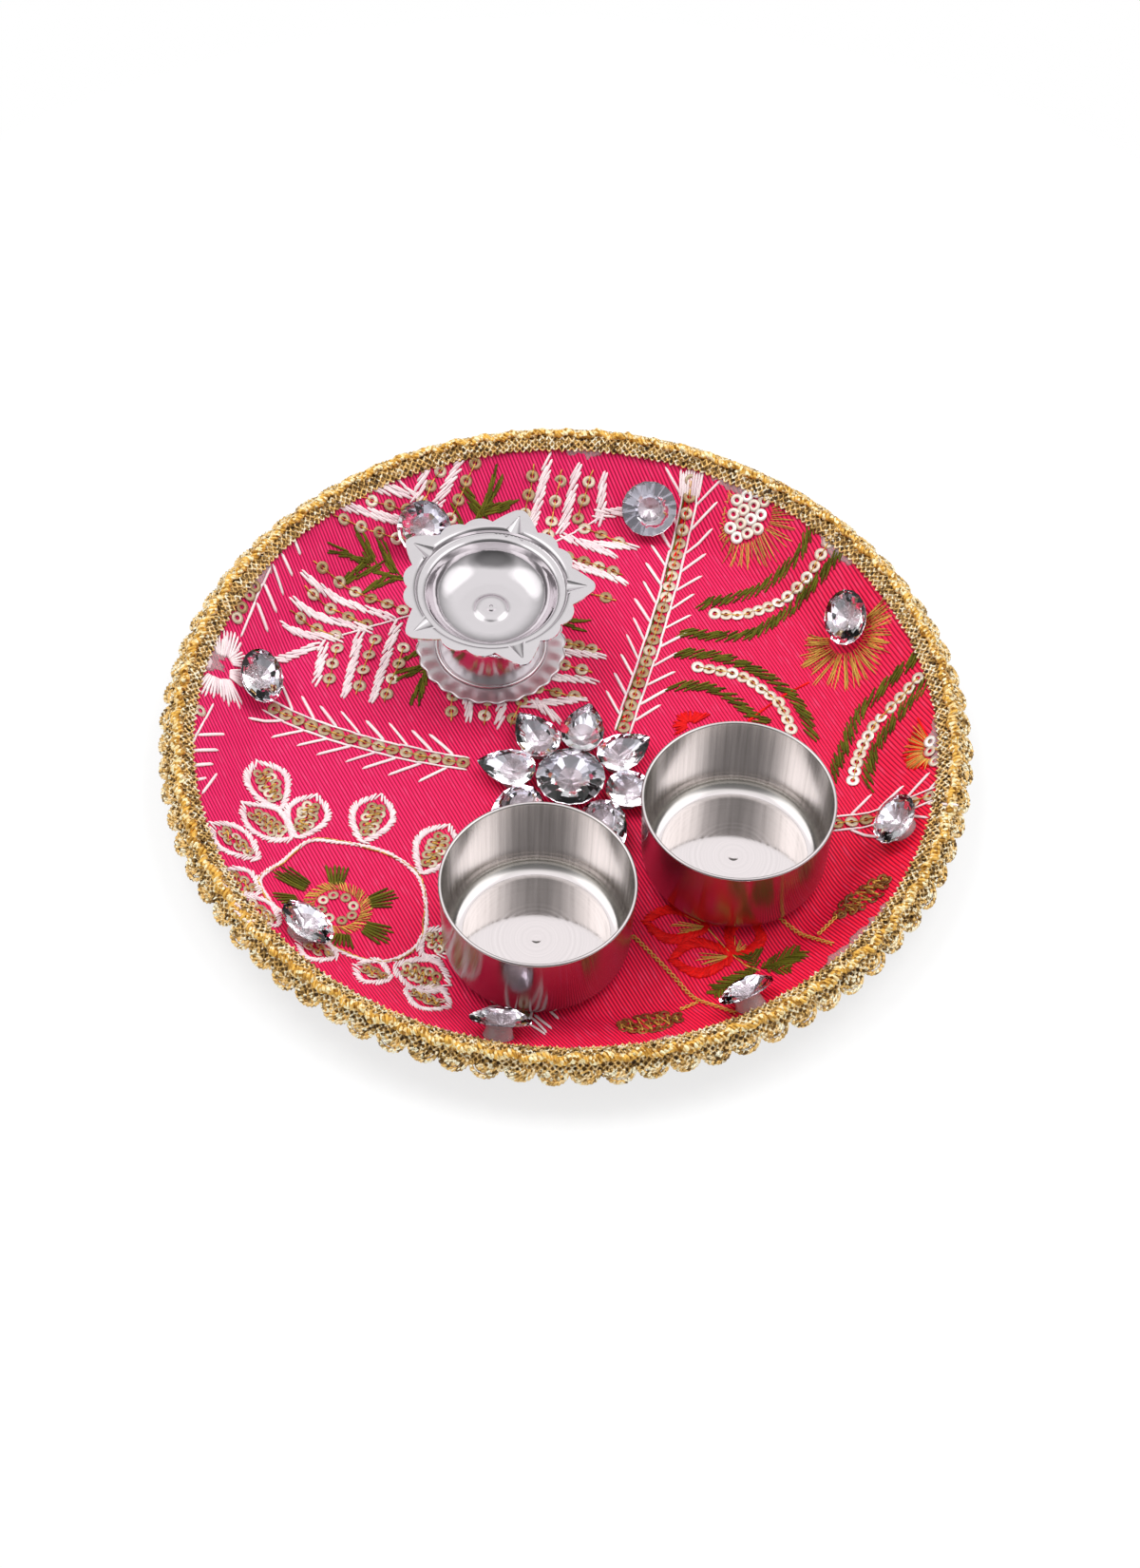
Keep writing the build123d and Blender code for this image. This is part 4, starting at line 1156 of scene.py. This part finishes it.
class THALI_OT_arcs(bpy.types.Operator):
    """Olive arcs with pale sequins at the right, gold bursts, a sequin cluster and red tips"""

    bl_idname = "thali.arcs"
    bl_label = "Arcs and bursts"

    olive = [
        [(37.2, 56.1), (48.9, 60.2), (58.5, 65.9), (64.4, 70.2), (67.5, 77.0)],
        [(31.8, 45.7), (41.4, 44.8), (51.1, 46.2), (58.6, 51.9), (65.4, 58.5), (71.2, 63.4), (75.7, 67.9)],
        [(31.2, 38.2), (40.1, 37.8), (49.0, 34.8), (57.2, 30.0), (62.7, 24.3), (66.0, 18.6), (68.0, 11.1)],
        [(30.1, 26.5), (38.2, 26.5), (45.0, 23.4), (51.1, 17.8), (54.5, 15.4)],
        [(96.3, 30.9), (88.6, 25.9), (81.6, 19.5), (76.7, 6.8), (73.9, -1.6)],
        [(98.7, 21.7), (94.3, 17.8), (89.8, 12.7), (86.0, 7.3), (83.9, 0.4), (83.2, -4.6)],
    ]
    pale = [
        [(40.7, 52.7), (47.6, 52.6), (54.5, 55.2), (61.3, 59.4), (67.2, 63.8), (69.8, 67.6), (72.3, 71.1)],
        [(36.1, 33.3), (42.2, 32.3), (47.7, 30.9), (51.8, 28.5), (54.5, 26.1), (57.2, 23.6),
         (59.6, 20.8), (62.3, 12.9)],
        [(96.9, 24.4), (91.8, 19.6), (86.1, 15.2), (82.8, 9.5), (81.0, 4.5), (80.0, 0.3), (79.2, -3.9)],
    ]
    cluster = (49.4, 83.1)
    cluster_rays = [
        (43.8, 90.0), (42.6, 83.0), (43.0, 74.0), (44.0, 70.6), (50.9, 69.6), (57.0, 69.4), (60.4, 69.9),
        (62.7, 79.3), (60.0, 84.0),
    ]
    sunburst = (77.9, 44.1)
    sunburst_tips = [
        (67.5, 46.2), (65.5, 38.0), (66.8, 30.5), (77.6, 27.6), (87.4, 32.2), (89.8, 43.4), (88.5, 51.5),
    ]
    half_flower = (100.8, -0.3)
    half_tips = [(96.1, 12.3), (94.2, 7.7), (92.8, 2.6), (93.9, -3.7), (99.5, -5.5)]
    half_sequins = [(99.7, 2.7), (99.6, -0.5), (100.7, -4.4)]
    red_middle = (34.3, 13.1)
    red_tips = [(30.3, 8.7), (29.6, 13.7), (31.5, 17.2), (36.9, 17.4), (40.3, 16.8)]
    red_stem = [(50.5, 15.2), (58.6, 23.3), (67.4, 29.7)]

    def execute(self, context):
        thread = thread_sizes(context)
        rng = np.random.default_rng(79)
        arc = partial(column, rows=3, gap=1.0, length=4.4, slant=27, pitch=2.3, height=0.6, taper=0.15)
        olive = [arc(path, width=thread.olive * 0.8, rng=rng) for path in self.olive]
        ring = partial(sequins, outer=thread.sequin, hole=thread.hole, rng=rng)
        rings, gold = [], []
        for path in self.pale:
            places = smooth_path(path, 3.25)
            rings.append(ring(places))
            gold.append(zari(places, thread, rng))
        # The cluster: rows of sequins, alternate rows shifted, cut to a round
        row = np.arange(4) - 1.5
        spread = np.stack(np.meshgrid(row * 2.9, row * 3.1), axis=-1)
        spread = (spread + np.array([[[0.7, 0]], [[-0.7, 0]]] * 2)).reshape(-1, 2)
        spread = spread[np.linalg.norm(spread, axis=1) < 6.6]
        rings.append(ring(self.cluster + turned(spread, 12.0), lift=0.6))
        fine = thread.zari * 0.85
        gold.append(rays(self.cluster, self.cluster_rays, 70, 6.8, fine, 0.4, rng))
        gold.append(rays(self.sunburst, self.sunburst_tips, 80, 6.5, fine, 0.5, rng))
        gold.append(rays(self.sunburst, self.sunburst_tips, 36, 4.5, fine, 0.6, rng))
        gold.append(rays(self.half_flower, self.half_tips, 36, 3.0, thread.zari, 0.5, rng))
        rings.append(ring(self.half_sequins))
        red = [
            rays(self.half_flower, self.half_tips, 26, 3.5, thread.red, 0.4, rng),
            rays(self.red_middle, self.red_tips, 26, 1.0, thread.red, 0.45, rng),
            run_of_stitches(self.red_stem, 3.0, thread.red, 0.4, rng),
        ]
        make_threads("arcs", ["stitch_arcs"], olive=olive, pearl=rings, zari=gold, red=red)
        return {"FINISHED"}


class THALI_OT_stones(bpy.types.Operator):
    """Clear stones with silvered backs, on dabs of clear glue"""

    bl_idname = "thali.stones"
    bl_label = "Stones and glue"

    # Smears of glue along the lace: bearing and half width in degrees, reach in from the lace in millimetres
    smears = [
        (-41.0, 6.5, 2.8), (-33.5, 3.5, 2.2), (-73.4, 3.2, 2.2), (64.2, 3.5, 2.2), (42.8, 4.0, 2.4),
        (168.0, 2.6, 4.0), (89.0, 3.0, 1.8), (150.0, 3.0, 2.0), (1.0, 5.0, 2.4), (-104.0, 5.0, 1.6),
    ]

    def execute(self, context):
        stones = [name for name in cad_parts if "_stone" in name]
        dress(stones, clear_acrylic(context.scene.thali_stone))
        glue, rng = set_glue(), np.random.default_rng(97)
        dress([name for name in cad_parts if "_glue" in name], glue)
        smears = joined(*(self.smear(*place, rng) for place in self.smears))
        make_piece("glue_smears", smears, glue)
        foil = joined(*(self.foil(name) for name in stones))
        make_piece("stone_foil", foil, silver_foil(), smooth=False)
        return {"FINISHED"}

    def smear(self, bearing, half_angle, reach, rng):
        """A thin smear from under the lace inwards: at t from -1 to 1 along it, it reaches in by reach
        sqrt(1 - t^2) times an uneven wave, and thins out from 0.3 to nothing."""
        t = np.linspace(-0.97, 0.97, 25)[:, None]
        share = np.concatenate([np.linspace(1, 0, 7), np.linspace(0, 1, 7)])
        wave = 1 + 0.25 * np.sin(7 * t + rng.uniform(0, tau)) + 0.15 * np.sin(17 * t + rng.uniform(0, tau))
        lap = 0.6
        radius = lace_inner[0] + lap - (lap + reach * np.sqrt(1 - t**2) * wave) * share
        angle = np.radians(bearing + half_angle * t) + 0 * share
        plan = radius[..., None] * compass(angle)
        lift = np.where(np.arange(14) < 7, 0.03 + 0.3 * (1 - share**2), -0.05)
        return skin(on_cover(plan, lift + 0 * radius)[0][None])

    def foil(self, name):
        """Film over a stone's back: the triangles that face away from its widest facet, set off by 0.03."""
        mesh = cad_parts[name].data
        mesh.calc_loop_triangles()
        points = np.empty(len(mesh.vertices) * 3)
        mesh.vertices.foreach_get("co", points)
        points = points.reshape(-1, 3) / mm
        corners = np.empty(len(mesh.loop_triangles) * 3, dtype=np.int32)
        mesh.loop_triangles.foreach_get("vertices", corners)
        triangles = points[corners.reshape(-1, 3)]
        normal = np.cross(triangles[:, 1] - triangles[:, 0], triangles[:, 2] - triangles[:, 0])
        area = np.linalg.norm(normal, axis=1)
        flat = unit(normal)
        table = flat[np.argmax(((flat @ flat.T) > 0.9999) @ area)]
        behind = (flat @ table < -0.15) & (area > 1e-9)
        back = triangles[behind] + 0.03 * flat[behind][:, None]
        index = np.arange(len(back) * 3).reshape(-1, 3)
        return Shape(back.reshape(-1, 3), [index], np.zeros(index.size))


class THALI_OT_vessels(bpy.types.Operator):
    """Steel plate and bowls, and the pressed lamp"""

    bl_idname = "thali.vessels"
    bl_label = "Plate, bowls and lamp"

    def execute(self, context):
        metal = context.scene.thali_metal
        for name in ("katori_left", "katori_right"):
            dress([name], spun_steel(f"spun_steel_{name}", name, metal))
        dress(["thali_plate"], spun_steel("spun_steel_plate", "thali_plate", metal))
        bright = pressed_sheet("pressed_nickelled_sheet", metal.lamp_dish, metal.lamp_floor)
        dress(["diya_dish", "diya_rivet"], bright)
        dress(["diya_foot"], pressed_sheet("dull_nickelled_sheet", metal.lamp_foot, metal.lamp_foot))
        fluted = pressed_sheet("fluted_nickelled_sheet", metal.lamp_skirt, metal.lamp_skirt)
        make_piece("diya_flutes", self.flutes(), fluted, body="diya")
        return {"FINISHED"}

    def flutes(self):
        """Flutes pressed into the skirt of the lamp's foot: with c = 1/2 - 1/2 cos(scallops b) and s from 0
        at the wall to 1 at the scalloped edge, the sheet stands flute_height c sin(pi s^1.5) above the flat
        skirt."""
        middle, _ = node_middle("diya_foot")
        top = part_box("diya_foot")[0][2] / mm + skirt_sheet
        b = turns(skirt_scallops * 12)[:, None]
        crest = 0.5 - 0.5 * np.cos(skirt_scallops * b)
        share = np.linspace(0, 1, 10)
        upper = 0.02 + flute_height * crest * np.sin(math.pi * share**1.5)
        rise = np.concatenate([upper, np.full_like(upper, -0.2)], axis=1)
        share = np.concatenate([share, share[::-1]])
        edge = skirt_radius - skirt_notch * (1 - crest) - 0.03
        radius = skirt_inner + (edge - skirt_inner) * share
        plan = middle + radius[..., None] * compass(b)
        return skin(np.concatenate([plan, (top + rise)[..., None]], axis=-1)[None], loop=True)


class THALI_OT_stage(bpy.types.Operator):
    """Pale floor, soft lights, white surroundings and camera"""

    bl_idname = "thali.stage"
    bl_label = "Stage"

    camera_place = (1.5, -588.7, 801.4)
    camera_aim = (1.53, -7.99, 0.0)
    camera_roll = 2.3
    lamp_size = 800
    tent_radius = 2400
    floor_radius = 2500
    floor_top = -0.3

    def execute(self, context):
        stage = context.scene.thali_stage
        context.scene.view_settings.view_transform = "Standard"
        self.surroundings(context, stage)
        self.tent(context, stage)
        self.floor(context)
        self.light(context, "key_light", (-520, 340, 960), stage.key)
        self.light(context, "fill_light", (520, 340, 940), stage.fill)
        self.camera(context, stage)
        return {"FINISHED"}

    def seen(self, add):
        """1 for what the camera sees straight, in metal or through clear stones, and 0 for light on the
        object."""
        kinds = ("Is Camera Ray", "Is Glossy Ray", "Is Transmission Ray")
        straight, shiny, clear = (add("LightPath", out=kind) for kind in kinds)
        either = add("Math", {0: straight, 1: shiny}, operation="MAXIMUM")
        return add("Math", {0: either, 1: clear}, operation="MAXIMUM")

    def surroundings(self, context, stage):
        """White wherever they are seen, and an even light on everything else."""
        world = bpy.data.worlds.new("studio")
        world.use_nodes = True
        world.node_tree.nodes.clear()
        add = partial(node, world.node_tree)
        level = add("Mix", {0: self.seen(add), 2: stage.sky, 3: 1.0})
        add("OutputWorld", {"Surface": add("Background", {"Color": (1, 1, 1, 1), "Strength": level})})
        context.scene.world = world

    def staged(self, context, name, points, faces, material):
        """A mesh of the stage, in millimetres."""
        mesh = bpy.data.meshes.new(name)
        mesh.from_pydata((np.array(points) * mm).tolist(), [], faces)
        mesh.materials.append(material)
        made = bpy.data.objects.new(name, mesh)
        context.scene.collection.objects.link(made)
        return made

    def tent(self, context, stage):
        """Light tent that only metal and clear stones show: white cloth overhead, grey towards the floor,
        dark at the front where the camera stands, with a soft lamp behind the cloth at each side. Its mesh
        is a dome: at the turn t and the climb c, a point is radius (cos c cos t, cos c sin t, sin c)."""
        material, add = finish("tent_cloth")
        aim = add("VectorMath", {0: add("TexCoord", out="Object")}, operation="NORMALIZE")
        rise = add("SeparateXYZ", {0: aim}, "Z")
        level = add("MapRange", {"Value": rise, "From Max": 0.8, "To Min": stage.horizon})
        front = add("VectorMath", {0: aim, 1: (0, -0.83, 0.56)}, "Value", operation="DOT_PRODUCT")
        dim = {"Value": front, "From Min": 0.72, "From Max": 0.94, "To Min": 1.0, "To Max": 0.26}
        dim = add("MapRange", dim, interpolation_type="SMOOTHSTEP")
        level = add("Math", {0: level, 1: dim}, operation="MULTIPLY")
        fold = add("VectorMath", {0: aim}, operation="ABSOLUTE")
        aside = add("VectorMath", {0: fold, 1: (0.72, 0, 0.69)}, "Value", operation="DOT_PRODUCT")
        window = {"Value": aside, "From Min": 0.84, "From Max": 0.96, "To Max": stage.window}
        window = add("MapRange", window, interpolation_type="SMOOTHSTEP")
        level = add("Math", {0: level, 1: window})
        surfaced(material, add("Emission", {"Color": (1, 1, 1, 1), "Strength": level}))
        climb = np.linspace(0, math.pi / 2, 13)[:-1, None, None]
        plan = np.cos(climb) * compass(turns(48))
        dome = np.concatenate([plan, np.sin(climb) + 0 * plan[..., :1]], axis=-1)
        index = np.arange(dome.size // 3).reshape(1, *dome.shape[:2])
        faces = [*grid_faces(index).tolist(), index[0, -1].tolist()]
        made = self.staged(context, "tent", self.tent_radius * dome.reshape(-1, 3), faces, material)
        made.visible_camera = made.visible_diffuse = made.visible_shadow = False

    def floor(self, context):
        """Matt white paper that keeps the shadow near the thali and fades to plain white away from it."""
        material, add = finish("white_paper")
        away = add("VectorMath", {0: add("TexCoord", out="Object")}, "Value", operation="LENGTH")
        fade = add("MapRange", {"Value": away, "From Min": 0.13, "From Max": 0.3})
        bright = add("Math", {0: self.seen(add), 1: 0.7}, operation="MULTIPLY")
        share = add("Math", {0: fade, 1: bright}, operation="MAXIMUM")
        paper = add("BsdfDiffuse", {"Color": (0.95, 0.95, 0.95, 1)})
        white = add("Emission", {"Color": (1, 1, 1, 1), "Strength": 1.0})
        surfaced(material, add("MixShader", {0: share, 1: paper, 2: white}))
        ring = self.floor_radius * compass(turns(96))
        ring = np.column_stack([ring, np.full(len(ring), self.floor_top)])
        self.staged(context, "floor", ring, [range(len(ring))], material)

    def aimed(self, context, name, data, place, aim=(0, 0, 0), roll=0.0):
        """A lamp or camera at a place, turned to its aim and rolled by an angle in degrees."""
        back = unit(np.array(place, float) - np.array(aim, float))
        right = unit(np.cross([0.0, 0.0, 1.0], back))
        up = np.cross(back, right)
        c, s = math.cos(math.radians(roll)), math.sin(math.radians(roll))
        matrix = np.eye(4)
        matrix[:3] = np.column_stack([c * right + s * up, c * up - s * right, back, np.array(place) * mm])
        made = bpy.data.objects.new(name, data)
        made.matrix_world = Matrix(matrix.tolist())
        context.scene.collection.objects.link(made)
        return made

    def light(self, context, name, place, power):
        lamp = bpy.data.lights.new(name, "AREA")
        lamp.shape = "DISK"
        lamp.size = self.lamp_size * mm
        lamp.energy = power
        self.aimed(context, name, lamp, place).visible_glossy = False

    def camera(self, context, stage):
        lens = bpy.data.cameras.new("camera")
        lens.lens = stage.lens
        lens.sensor_width = 36
        made = self.aimed(context, "camera", lens, self.camera_place, self.camera_aim, self.camera_roll)
        context.scene.camera = made


operators = [
    THALI_OT_satin,
    THALI_OT_lace,
    THALI_OT_fern,
    THALI_OT_vines,
    THALI_OT_wreath,
    THALI_OT_bloom,
    THALI_OT_arcs,
    THALI_OT_stones,
    THALI_OT_vessels,
    THALI_OT_stage,
]


class THALI_PT_panel(bpy.types.Panel):
    """Lists what makes the thali, and what may be changed first"""

    bl_idname = "THALI_PT_panel"
    bl_label = "Puja thali"
    bl_space_type = "VIEW_3D"
    bl_region_type = "UI"
    bl_category = "Thali"

    def draw(self, context):
        for name, look in looks.items():
            box = self.layout.box()
            for field in look.__annotations__:
                box.prop(getattr(context.scene, name), field)
        for operator in operators:
            self.layout.operator(operator.bl_idname)


classes = [*looks.values(), *operators, THALI_PT_panel]


def register():
    for cls in classes:
        bpy.utils.register_class(cls)
    for name, look in looks.items():
        setattr(bpy.types.Scene, name, PointerProperty(type=look))


def unregister():
    for name in looks:
        delattr(bpy.types.Scene, name)
    for cls in reversed(classes):
        bpy.utils.unregister_class(cls)


def main():
    register()
    for operator in operators:
        group, name = operator.bl_idname.split(".")
        getattr(getattr(bpy.ops, group), name)()


if __name__ == "__main__":
    main()
